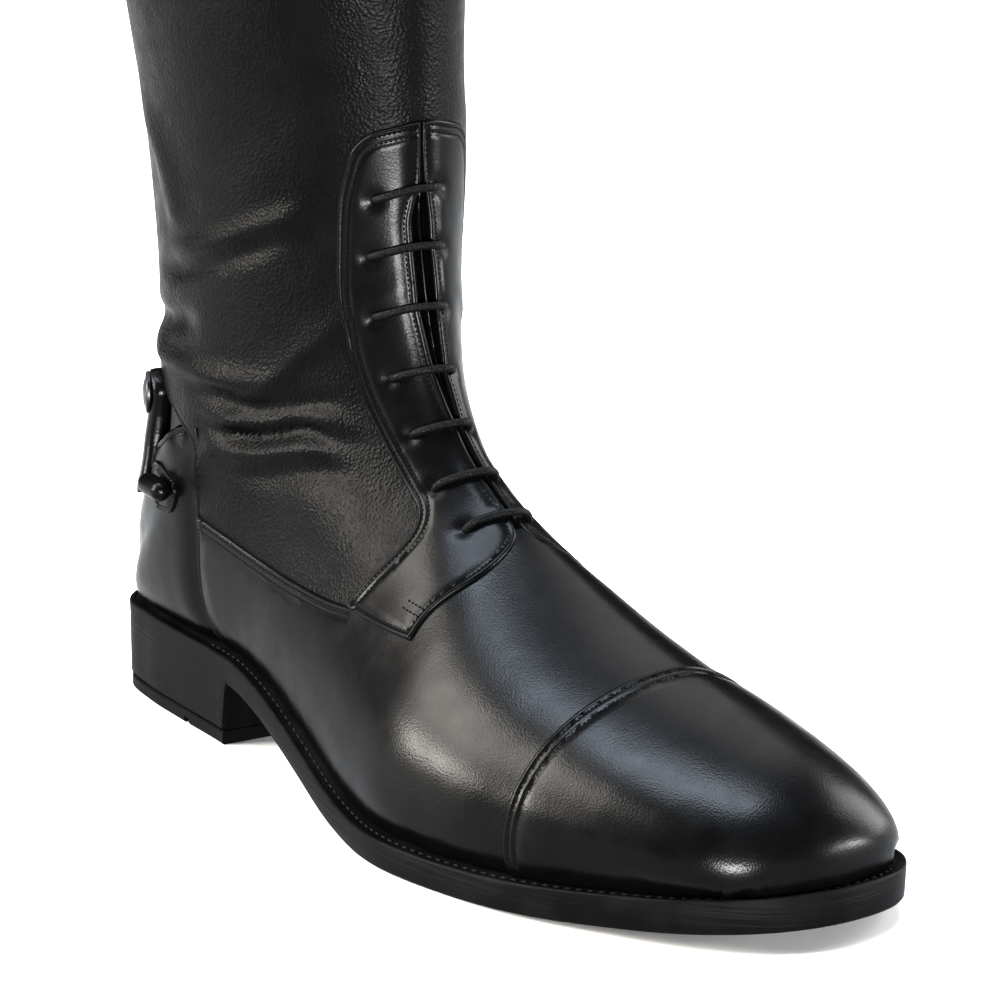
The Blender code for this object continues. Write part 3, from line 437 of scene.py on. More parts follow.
class BootForm:
    """The upper's outside as a fine lattice of places, with the folds pressed into it."""

    SHARES = 121
    FINE_STEP = 0.05
    HEEL_EASE = 0.5
    HEEL_ROWS = (14.0, 23.5)
    FRONT_START = 9.0

    def __init__(self, sole: SoleForm, folds: tuple[Fold, ...]) -> None:
        """Work out the lattice.

        Args:
            sole: the sole that the upper stands on.
            folds: the troughs and ridges of the leather.
        """
        self.sole = sole
        self.stations = np.linspace(0.0, LAST_STATION, int(LAST_STATION / self.FINE_STEP) + 1)
        lateral, self.lateral_length = self._side(True)
        medial, self.medial_length = self._side(False)
        self.places = self._softened(np.concatenate([medial[:, :0:-1], lateral], axis=1))
        across = np.gradient(self.places, axis=1)
        along = np.gradient(self.places, self.stations, axis=0)
        outward = unit(np.cross(across, along))
        ring = self.stations > HEEL_STATION
        outward[ring, 0] = outward[ring, -1] = unit(outward[ring, 0] + outward[ring, -1])
        self.outward = outward
        self.relief = sum((fold.relief(self.places) for fold in folds), np.zeros(self.places.shape[:2]))
        gaps = np.linalg.norm(np.diff(self.places, axis=0), axis=2).mean(axis=1)
        self.distance = np.append(0.0, np.cumsum(gaps))

    def _rows(self) -> Array:
        """Return the section table's values at every station of the lattice."""
        values = np.array(SECTIONS)
        steps = np.diff(values, axis=0)
        slopes = np.zeros_like(values)
        before, after = steps[:-1], steps[1:]
        same_way = before * after > 0.0
        total = np.where(same_way, before + after, 1.0)
        slopes[1:-1] = np.where(same_way, 2.0 * before * after / total, 0.0)
        slopes[0], slopes[-1] = steps[0], steps[-1]
        row = np.minimum(self.stations.astype(int), LAST_STATION - 1)
        part = (self.stations - row)[:, None]
        square, cube = part ** 2, part ** 3
        return (values[row] * (2 * cube - 3 * square + 1) + slopes[row] * (cube - 2 * square + part)
                + values[row + 1] * (3 * square - 2 * cube) + slopes[row + 1] * (cube - square))

    def _side(self, lateral: bool) -> tuple[Array, Array]:
        """Work out one side of every section.

        Args:
            lateral: whether it is the outer side.

        Returns:
            The places from the ridge to the low end, evenly spaced in each section, and each one's length.
        """
        row = Section(*self._rows().T)
        low_up = self.sole.feather(np.maximum(row.low_f, 0.0)) + row.rise
        low_right = self.sole.right(row.low_f, FEATHER_INSET, lateral)
        low_right = np.where(self.stations < HEEL_STATION, low_right, 0.0)
        top = np.stack([row.top_f, row.top_r, row.top_u], axis=1)
        low = np.stack([row.low_f, low_right, low_up], axis=1)
        share = row.share[:, None]
        level = np.stack([row.low_f, row.top_r, low_up], axis=1) * (1.0 - share) + top * share
        widest = row.lateral if lateral else row.medial
        side = np.stack([level[:, 0], widest, level[:, 2]], axis=1)
        inner = np.stack([level[:, 0], low_right, level[:, 2]], axis=1)
        turn = np.linspace(0.0, math.pi / 2.0, 61)[None, :, None]
        crown = (2.0 / (row.lateral_crown if lateral else row.medial_crown))[:, None, None]
        seat = (2.0 / row.seat)[:, None, None]
        top, low, level, side, inner = (line[:, None, :] for line in (top, low, level, side, inner))
        cos, sin = np.abs(np.cos(turn)), np.abs(np.sin(turn))
        above = level + (top - level) * cos ** crown + (side - level) * sin ** crown
        below = inner + (side - inner) * cos ** seat + (low - inner) * sin ** seat
        lines = np.concatenate([above, below[:, 1:]], axis=1)
        shares = np.linspace(0.0, 1.0, self.SHARES)
        even, lengths = [], []
        for line in lines:
            length = lengths_along(line)
            lengths.append(length[-1])
            even.append(np.stack([np.interp(shares * length[-1], length, line[:, axis])
                                  for axis in range(3)], axis=1))
        return np.array(even), np.array(lengths)

    def _softened(self, places: Array) -> Array:
        """Return the lattice eased along its stations low on the heel, where the sections turn into rings."""
        reach = int(self.HEEL_EASE / self.FINE_STEP)
        kernel = np.exp(-(np.arange(-2 * reach, 2 * reach + 1) / reach) ** 2)
        kernel /= kernel.sum()
        padded = np.pad(places, ((2 * reach, 2 * reach), (0, 0), (0, 0)), mode="edge")
        eased = sum(weight * padded[index:index + len(places)] for index, weight in enumerate(kernel))
        first, last = self.HEEL_ROWS
        along = eased_step((self.stations - first) / 2.0) * eased_step((last - self.stations) / 2.0)
        share = np.abs(np.linspace(-1.0, 1.0, 2 * self.SHARES - 1))
        across = eased_step((share - 0.45) / 0.2) * eased_step((1.0 - share) / 0.06)
        weight = (along[:, None] * across[None, :])[:, :, None]
        return places * (1.0 - weight) + eased * weight

    def length(self, station: Array, lateral: bool) -> Array:
        """Return how far it is round one side of the section at a station."""
        return np.interp(station, self.stations, self.lateral_length if lateral else self.medial_length)

    def place(self, station: Array, reach: Array, out: Array = 0.0) -> Array:
        """Return places on the upper, folds and all.

        Args:
            station: where along the upper.
            reach: how far round from the ridge, positive on the lateral side.
            out: the distance off the outside.

        Returns:
            Forward, right and up in the last axis.
        """
        station, reach = np.broadcast_arrays(np.asarray(station, float), np.asarray(reach, float))
        row = np.interp(station, self.stations, np.arange(len(self.stations)))
        length = np.where(reach >= 0.0, self.length(station, True), self.length(station, False))
        column = (np.clip(reach / length, -1.0, 1.0) + 1.0) * (self.SHARES - 1)
        low_row = np.minimum(row.astype(int), len(self.stations) - 2)
        low_column = np.minimum(column.astype(int), 2 * self.SHARES - 3)
        row_part = (row - low_row)[..., None]
        column_part = (column - low_column)[..., None]
        corners = ((0, 0, (1 - row_part) * (1 - column_part)), (1, 0, row_part * (1 - column_part)),
                   (0, 1, (1 - row_part) * column_part), (1, 1, row_part * column_part))
        place, outward, relief = 0.0, 0.0, 0.0
        for row_step, column_step, weight in corners:
            index = (low_row + row_step, low_column + column_step)
            place = place + self.places[index] * weight
            outward = outward + self.outward[index] * weight
            relief = relief + self.relief[index] * weight[..., 0]
        return place + unit(outward) * (relief + out)[..., None]

    def find(self, points: tuple[SidePoint, ...], lateral: bool) -> Array:
        """Return the station and reach of places given as seen from the side.

        Args:
            points: forward and up of each place.
            lateral: which side of the boot they are on.

        Returns:
            One row of station and reach for each point.
        """
        middle = self.SHARES - 1
        tops = self.places[:, middle][:, [0, 2]]
        lows = self.places[:, -1 if lateral else 0][:, [0, 2]]
        axis = lows - tops
        found = []
        for point in points:
            away = np.array(point) - tops
            side = away[:, 0] * axis[:, 1] - away[:, 1] * axis[:, 0]
            part = (away * axis).sum(axis=1) / (axis * axis).sum(axis=1)
            crossing = np.nonzero((side[:-1] * side[1:] <= 0.0) & (part[:-1] > -0.1) & (part[:-1] < 1.1))[0]
            row = crossing[0] if len(crossing) else int(np.argmin(np.abs(side)))
            station = self.stations[row]
            if len(crossing):
                station += self.FINE_STEP * side[row] / (side[row] - side[row + 1] + 1e-9)
            line = self.places[row, middle:] if lateral else self.places[row, middle::-1]
            along = ((line[:, [0, 2]] - tops[row]) @ axis[row]) / (axis[row] @ axis[row])
            share = np.interp(part[row], np.maximum.accumulate(along), np.linspace(0.0, 1.0, self.SHARES))
            found.append((station, share * self.length(station, lateral) * (1.0 if lateral else -1.0)))
        return np.array(found)

    def at_height(self, up: float, reach: Array) -> Array:
        """Return the stations at which the front of the upper has a height, for each reach."""
        tried = self.stations[self.stations > self.FRONT_START]
        heights = np.stack([self.place(tried, np.full_like(tried, one))[:, 2]
                            for one in np.atleast_1d(reach)])
        return np.array([np.interp(up, np.maximum.accumulate(line), tried) for line in heights])

    @staticmethod
    def slit_edge(station: Array, lateral: bool) -> Array:
        """Return the reach of one edge of the lacing slit at stations."""
        edges = [point.lateral if lateral else point.medial for point in SLIT_EDGES]
        return np.interp(station, [point.station for point in SLIT_EDGES], edges)

    def at_back(self, up: float) -> float:
        """Return the station whose section meets the middle of the back at a height."""
        ring = self.stations > HEEL_STATION
        return float(np.interp(up, self.places[ring, -1, 2], self.stations[ring]))


def turned_over(faces: list) -> list:
    """Return faces that look the other way."""
    return [face[::-1] for face in faces]


def linked(name: str, data: bpy.types.ID) -> Item:
    """Return a new object with the given data, linked into the scene."""
    item = bpy.data.objects.new(name, data)
    bpy.context.scene.collection.objects.link(item)
    return item


def mesh_object(name: str, places: Array, faces: list, material: Material,
                sharp_deg: float = 50.0) -> Item:
    """Make an object from places in millimetres and faces by index.

    Args:
        name: the object's name.
        places: forward, right and up of each point.
        faces: the faces, by point index.
        material: its material.
        sharp_deg: edges that turn more than this are not smoothed.

    Returns:
        The object, linked into the scene.
    """
    mesh = bpy.data.meshes.new(name)
    mesh.from_pydata(to_world(places).tolist(), [], [list(map(int, face)) for face in faces])
    mesh.validate()
    mesh.shade_smooth()
    mesh.set_sharp_from_angle(angle=math.radians(sharp_deg))
    mesh.materials.append(material)
    return linked(name, mesh)


def grid_faces(rows: int, columns: int, close_rows: bool = False, close_columns: bool = False) -> list:
    """Return the faces of a grid of points stored row by row.

    Args:
        rows: how many rows.
        columns: how many points in each row.
        close_rows: whether the last row joins the first.
        close_columns: whether the last column joins the first.

    Returns:
        Four-cornered faces by point index.
    """
    faces = []
    for row in range(rows if close_rows else rows - 1):
        after = (row + 1) % rows
        for column in range(columns if close_columns else columns - 1):
            beside = (column + 1) % columns
            faces.append((row * columns + column, after * columns + column,
                          after * columns + beside, row * columns + beside))
    return faces


def settle(piece: Item, slot: str, *nodes: str) -> None:
    """Tie a finished piece to the boot.

    Args:
        piece: the piece.
        slot: not used.
        nodes: the solids that it stands for.
    """
    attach(piece, BOOT)
    if nodes:
        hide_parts(*nodes)
    LOG.info("%s: %d faces", piece.name, len(piece.data.polygons))


class Nodes:
    """Adds and joins the nodes of one material."""

    def __init__(self, name: str) -> None:
        """Start a material with its main shader and the object's own coordinates."""
        self.material = bpy.data.materials.new(name)
        self.material.use_nodes = True
        self.tree = self.material.node_tree
        self.shader = self.tree.nodes["Principled BSDF"]
        self.coords = self.add("ShaderNodeTexCoord").outputs["Object"]

    def add(self, kind: str, **settings: object) -> bpy.types.Node:
        """Add a node and set its options."""
        node = self.tree.nodes.new(kind)
        for name, value in settings.items():
            setattr(node, name, value)
        return node

    def join(self, source: Socket, target: Socket) -> None:
        """Join two sockets."""
        self.tree.links.new(source, target)

    def feed(self, name: str, source: Socket) -> None:
        """Join a socket to one of the main shader's own."""
        self.join(source, self.shader.inputs[name])

    def stretched(self, scale: Triple) -> Socket:
        """Return the coordinates stretched along each axis."""
        node = self.add("ShaderNodeMapping")
        node.inputs["Scale"].default_value = scale
        self.join(self.coords, node.inputs["Vector"])
        return node.outputs["Vector"]

    def noise(self, scale: float, detail: float = 3.0,
              vector: Socket | None = None) -> Socket:
        """Return soft noise with the given count per metre."""
        node = self.add("ShaderNodeTexNoise")
        node.inputs["Scale"].default_value = scale
        node.inputs["Detail"].default_value = detail
        self.join(vector or self.coords, node.inputs["Vector"])
        return node.outputs["Fac"]

    def cells(self, scale: float) -> Socket:
        """Return distances in a field of cells with the given count per metre."""
        node = self.add("ShaderNodeTexVoronoi")
        node.inputs["Scale"].default_value = scale
        self.join(self.coords, node.inputs["Vector"])
        return node.outputs["Distance"]

    def spread(self, factor: Socket, low: float, high: float, to_low: float,
               to_high: float) -> Socket:
        """Return a factor carried from one range to another."""
        node = self.add("ShaderNodeMapRange")
        for name, value in (("From Min", low), ("From Max", high), ("To Min", to_low), ("To Max", to_high)):
            node.inputs[name].default_value = value
        self.join(factor, node.inputs["Value"])
        return node.outputs["Result"]

    def colours(self, factor: Socket, first: tuple, second: tuple) -> Socket:
        """Return a colour between two by a factor."""
        node = self.add("ShaderNodeMix", data_type="RGBA")
        node.inputs[6].default_value = (*first, 1.0)
        node.inputs[7].default_value = (*second, 1.0)
        self.join(factor, node.inputs[0])
        return node.outputs[2]

    def bump(self, height: Socket, strength: float, depth: float,
             normal: Socket | None = None) -> Socket:
        """Return a normal roughened by a height, on top of another where given."""
        node = self.add("ShaderNodeBump")
        node.inputs["Strength"].default_value = strength
        node.inputs["Distance"].default_value = depth * MM
        self.join(height, node.inputs["Height"])
        if normal is not None:
            self.join(normal, node.inputs["Normal"])
        return node.outputs["Normal"]

    def set(self, **values: object) -> None:
        """Set the main shader's own sockets, with words joined by underscores."""
        for name, value in values.items():
            self.shader.inputs[name.replace("_", " ").title().replace("Ior", "IOR")].default_value = value


@dataclass(frozen=True)
class Leather:
    """Black leather with pores or pebbles, soft unevenness and a light finish.

    Attributes:
        name: the material's name.
        dark: its colour in the creases.
        light: its colour where it is worn.
        gloss: lowest and highest roughness.
        pebble: cells per metre of its grain.
        pebble_depth: how deep the grain is, in millimetres.
        coat: weight of the polish on it.
        shine: how strongly its surface mirrors light.
        unevenness: height of its broad waves, in millimetres.
        patches: worn patches per metre.
        rubs: changes of gloss per metre.
        creases: fine creases per metre.
        waves: broad waves per metre.
        coat_rough: roughness of the polish.
    """

    name: str
    dark: Triple
    light: Triple
    gloss: tuple[float, float]
    pebble: float
    pebble_depth: float
    coat: float
    shine: float = 0.042
    unevenness: float = 0.9
    patches: float = 45.0
    rubs: float = 160.0
    creases: float = 330.0
    waves: float = 38.0
    coat_rough: float = 0.22

    def make(self) -> Material:
        """Return the material."""
        nodes = Nodes(self.name)
        broad = nodes.noise(self.patches, 4.0)
        colour = nodes.colours(nodes.spread(broad, 0.35, 0.7, 0.0, 1.0), self.dark, self.light)
        nodes.feed("Base Color", colour)
        rough = nodes.spread(nodes.noise(self.rubs, 5.0), 0.3, 0.7, *self.gloss)
        nodes.feed("Roughness", rough)
        grain = nodes.bump(nodes.cells(self.pebble), 1.0, self.pebble_depth)
        creases = nodes.bump(nodes.noise(self.creases, 6.0), 0.5, self.pebble_depth * 1.6, grain)
        waves = nodes.bump(nodes.noise(self.waves, 2.0), 0.35, self.unevenness, creases)
        nodes.feed("Normal", waves)
        nodes.set(specular_ior_level=self.shine, coat_weight=self.coat, coat_roughness=self.coat_rough)
        nodes.feed("Coat Normal", waves)
        return nodes.material


@dataclass(frozen=True)
class Rubber:
    """Matte moulded rubber with a faint grain and rubbed places.

    Attributes:
        name: the material's name.
        dark: its colour.
        light: its colour where it is rubbed.
        rough: its roughness.
        layers: fine level lines per metre, as on a built heel, or 0 for none.
        shine: how strongly its surface mirrors light.
        patches: rubbed patches per metre.
        rubbed_gain: how much rougher it is where it is rubbed.
        grain: grains per metre.
    """

    name: str
    dark: Triple
    light: Triple
    rough: float
    layers: float = 0.0
    shine: float = 0.042
    patches: float = 70.0
    rubbed_gain: float = 0.12
    grain: float = 1400.0

    def make(self) -> Material:
        """Return the material."""
        nodes = Nodes(self.name)
        rubbed = nodes.spread(nodes.noise(self.patches, 6.0), 0.4, 0.72, 0.0, 1.0)
        nodes.feed("Base Color", nodes.colours(rubbed, self.dark, self.light))
        rough = nodes.spread(rubbed, 0.0, 1.0, self.rough, self.rough + self.rubbed_gain)
        nodes.feed("Roughness", rough)
        normal = nodes.bump(nodes.noise(self.grain, 3.0), 0.4, 0.06)
        if self.layers:
            lines = nodes.noise(self.layers, 2.0, nodes.stretched((0.03, 0.03, 1.0)))
            normal = nodes.bump(lines, 0.8, 0.45, normal)
        nodes.feed("Normal", normal)
        nodes.set(specular_ior_level=self.shine)
        return nodes.material


@dataclass(frozen=True)
class Cloth:
    """Thread, lace, tape or lining with a fine uneven weave.

    Attributes:
        name: the material's name.
        dark: its colour between threads.
        light: its colour on threads.
        rough: its roughness.
        weave: threads per metre.
        depth: how deep the weave is, in millimetres.
        shine: how strongly its surface mirrors light.
        rubs: changes of roughness per metre.
        rub_gain: how far the roughness goes up and down.
    """

    name: str
    dark: Triple
    light: Triple
    rough: float
    weave: float
    depth: float
    shine: float = 0.2
    rubs: float = 300.0
    rub_gain: float = 0.08

    def make(self) -> Material:
        """Return the material."""
        nodes = Nodes(self.name)
        threads = nodes.cells(self.weave)
        nodes.feed("Base Color", nodes.colours(threads, self.light, self.dark))
        nodes.feed("Normal", nodes.bump(threads, 0.8, self.depth))
        gain = self.rub_gain
        rough = nodes.spread(nodes.noise(self.rubs), 0.3, 0.7, self.rough - gain, self.rough + gain)
        nodes.feed("Roughness", rough)
        nodes.set(specular_ior_level=self.shine)
        return nodes.material


@dataclass(frozen=True)
class Metal:
    """Dark plated metal with fine scratches.

    Attributes:
        name: the material's name.
        colour: its colour.
        rough: its lowest roughness.
        worn_gain: how much rougher it is where it is worn.
        worn_patches: worn patches per metre.
        scratches: fine scratches per metre.
    """

    name: str
    colour: Triple
    rough: float
    worn_gain: float = 0.2
    worn_patches: float = 420.0
    scratches: float = 2500.0

    def make(self) -> Material:
        """Return the material."""
        nodes = Nodes(self.name)
        worn = nodes.noise(self.worn_patches, 6.0)
        darker = tuple(0.6 * part for part in self.colour)
        nodes.feed("Base Color", nodes.colours(worn, darker, self.colour))
        rough = nodes.spread(worn, 0.3, 0.7, self.rough, self.rough + self.worn_gain)
        nodes.feed("Roughness", rough)
        nodes.feed("Normal", nodes.bump(nodes.noise(self.scratches), 0.2, 0.03))
        nodes.set(metallic=1.0)
        return nodes.material


class Finishes:
    """Every finish of the boot, made once."""

    def __init__(self) -> None:
        """Make the materials."""
        black = (0.0008, 0.0008, 0.0009)
        worn = (0.0015, 0.0015, 0.0016)
        self.shaft = Leather("shaft_leather", black, (0.0016, 0.0016, 0.0017), (0.34, 0.46),
                             1150.0, 0.15, 0.0).make()
        self.smooth = Leather("smooth_leather", black, worn, (0.28, 0.38), 1900.0, 0.03, 0.06).make()
        self.facing = Leather("facing_leather", black, worn, (0.30, 0.38), 1500.0, 0.02, 0.04).make()
        self.gore = Cloth("gore_cloth", (0.002, 0.002, 0.002), (0.005, 0.005, 0.005), 0.7, 1400.0, 0.3).make()
        self.lining = Leather("lining_leather", (0.010, 0.010, 0.010), (0.016, 0.016, 0.015), (0.55, 0.7),
                              1500.0, 0.05, 0.0).make()
        rubber = (0.0010, 0.0010, 0.0011)
        self.sole = Rubber("sole_rubber", rubber, (0.0025, 0.0025, 0.0026), 0.5).make()
        self.heel = Rubber("heel_rubber", rubber, (0.0030, 0.0030, 0.0031), 0.5, 900.0).make()
        self.welt = Rubber("welt_rubber", (0.0015, 0.0015, 0.0015), (0.004, 0.004, 0.004), 0.55).make()
        self.insole = Rubber("insole_board", (0.012, 0.011, 0.011), (0.022, 0.021, 0.019), 0.8).make()
        self.thread = Cloth("black_thread", (0.0006, 0.0006, 0.0006), (0.0016, 0.0016, 0.0017), 0.5,
                            3000.0, 0.1, 0.03).make()
        self.welt_thread = Cloth("welt_thread", (0.003, 0.003, 0.003), (0.012, 0.012, 0.012), 0.6,
                                 3000.0, 0.1, 0.06).make()
        self.lace = Cloth("elastic_lace", (0.001, 0.001, 0.001), (0.003, 0.003, 0.0031), 0.5,
                          1900.0, 0.2, 0.06).make()
        self.tape = Cloth("zip_tape", (0.003, 0.003, 0.003), (0.012, 0.012, 0.012), 0.75, 1500.0, 0.3).make()
        self.metal = Metal("zip_metal", (0.16, 0.16, 0.165), 0.25).make()
        self.enamel = Metal("snap_enamel", (0.03, 0.03, 0.031), 0.3).make()


class Bead(NamedTuple):
    """A small rounded form set along a line: the distance to the next one, its length and its width."""

    pitch: float
    length: float
    width: float


class RepeatTree:
    """Node tree that sets one small rounded form again and again along lines."""

    def __init__(self) -> None:
        """Build the tree with named inputs for the spacing and the form's sizes."""
        self.group = bpy.data.node_groups.new("repeat_along_lines", "GeometryNodeTree")
        face = self.group.interface
        for way in ("INPUT", "OUTPUT"):
            face.new_socket("Geometry", in_out=way, socket_type="NodeSocketGeometry")
        self.inputs = {}
        for name in ("Pitch", "Length", "Width"):
            socket = face.new_socket(name, in_out="INPUT", socket_type="NodeSocketFloat")
            self.inputs[name] = socket.identifier
        socket = face.new_socket("Material", in_out="INPUT", socket_type="NodeSocketMaterial")
        self.inputs["Material"] = socket.identifier
        start, end = self._add("NodeGroupInput"), self._add("NodeGroupOutput")
        curve = self._add("GeometryNodeMeshToCurve")
        points = self._add("GeometryNodeCurveToPoints", mode="LENGTH")
        form = self._add("GeometryNodeMeshUVSphere")
        form.inputs["Segments"].default_value = 6
        form.inputs["Rings"].default_value = 5
        form.inputs["Radius"].default_value = 0.5
        size = self._add("ShaderNodeCombineXYZ")
        shape = self._add("GeometryNodeTransform")
        smooth = self._add("GeometryNodeSetShadeSmooth")
        repeat = self._add("GeometryNodeInstanceOnPoints")
        real = self._add("GeometryNodeRealizeInstances")
        dress = self._add("GeometryNodeSetMaterial")
        for source, output, target, entry in (
                (start, "Geometry", curve, "Mesh"),
                (curve, "Curve", points, "Curve"),
                (start, "Pitch", points, "Length"),
                (start, "Width", size, "X"),
                (start, "Width", size, "Y"),
                (start, "Length", size, "Z"),
                (form, "Mesh", shape, "Geometry"),
                (size, "Vector", shape, "Scale"),
                (shape, "Geometry", smooth, "Geometry"),
                (smooth, "Geometry", repeat, "Instance"),
                (points, "Points", repeat, "Points"),
                (points, "Rotation", repeat, "Rotation"),
                (repeat, "Instances", real, "Geometry"),
                (real, "Geometry", dress, "Geometry"),
                (start, "Material", dress, "Material"),
                (dress, "Geometry", end, "Geometry")):
            self.group.links.new(source.outputs[output], target.inputs[entry])

    def _add(self, kind: str, **settings: object) -> bpy.types.Node:
        """Add a node and set its options."""
        node = self.group.nodes.new(kind)
        for name, value in settings.items():
            setattr(node, name, value)
        return node

    def run(self, name: str, lines: list[Array], bead: Bead,
            material: Material) -> Item:
        """Set the form along lines and return the result as one plain mesh.

        Args:
            name: the piece's name.
            lines: places in millimetres along each line.
            bead: the form's sizes.
            material: its material.

        Returns:
            The piece, without its modifier.
        """
        mesh = bpy.data.meshes.new(name + "_lines")
        edges, total = [], 0
        for line in lines:
            edges += [(total + index, total + index + 1) for index in range(len(line) - 1)]
            total += len(line)
        mesh.from_pydata(to_world(np.vstack(lines)).tolist(), edges, [])
        piece = linked(name, mesh)
        modifier = piece.modifiers.new("repeat", "NODES")
        modifier.node_group = self.group
        for key, size in zip(("Pitch", "Length", "Width"), bead):
            modifier[self.inputs[key]] = size * MM
        modifier[self.inputs["Material"]] = material
        mesh.update()
        evaluated = piece.evaluated_get(bpy.context.evaluated_depsgraph_get())
        piece.data = bpy.data.meshes.new_from_object(evaluated)
        piece.modifiers.clear()
        return piece


class EdgeKind(Enum):
    """How one stretch of a panel's outline ends."""

    CUT = "cut"
    HIDDEN = "hidden"


class Stretch(NamedTuple):
    """One smooth stretch of a panel's outline, with its stitch rows by their distance in from it."""

    places: Array
    kind: EdgeKind = EdgeKind.HIDDEN
    rows: tuple[float, ...] = ()


class Sink(NamedTuple):
    """Places round which a panel is pressed in: how deep and how wide."""

    places: Array
    depth: float
    width: float


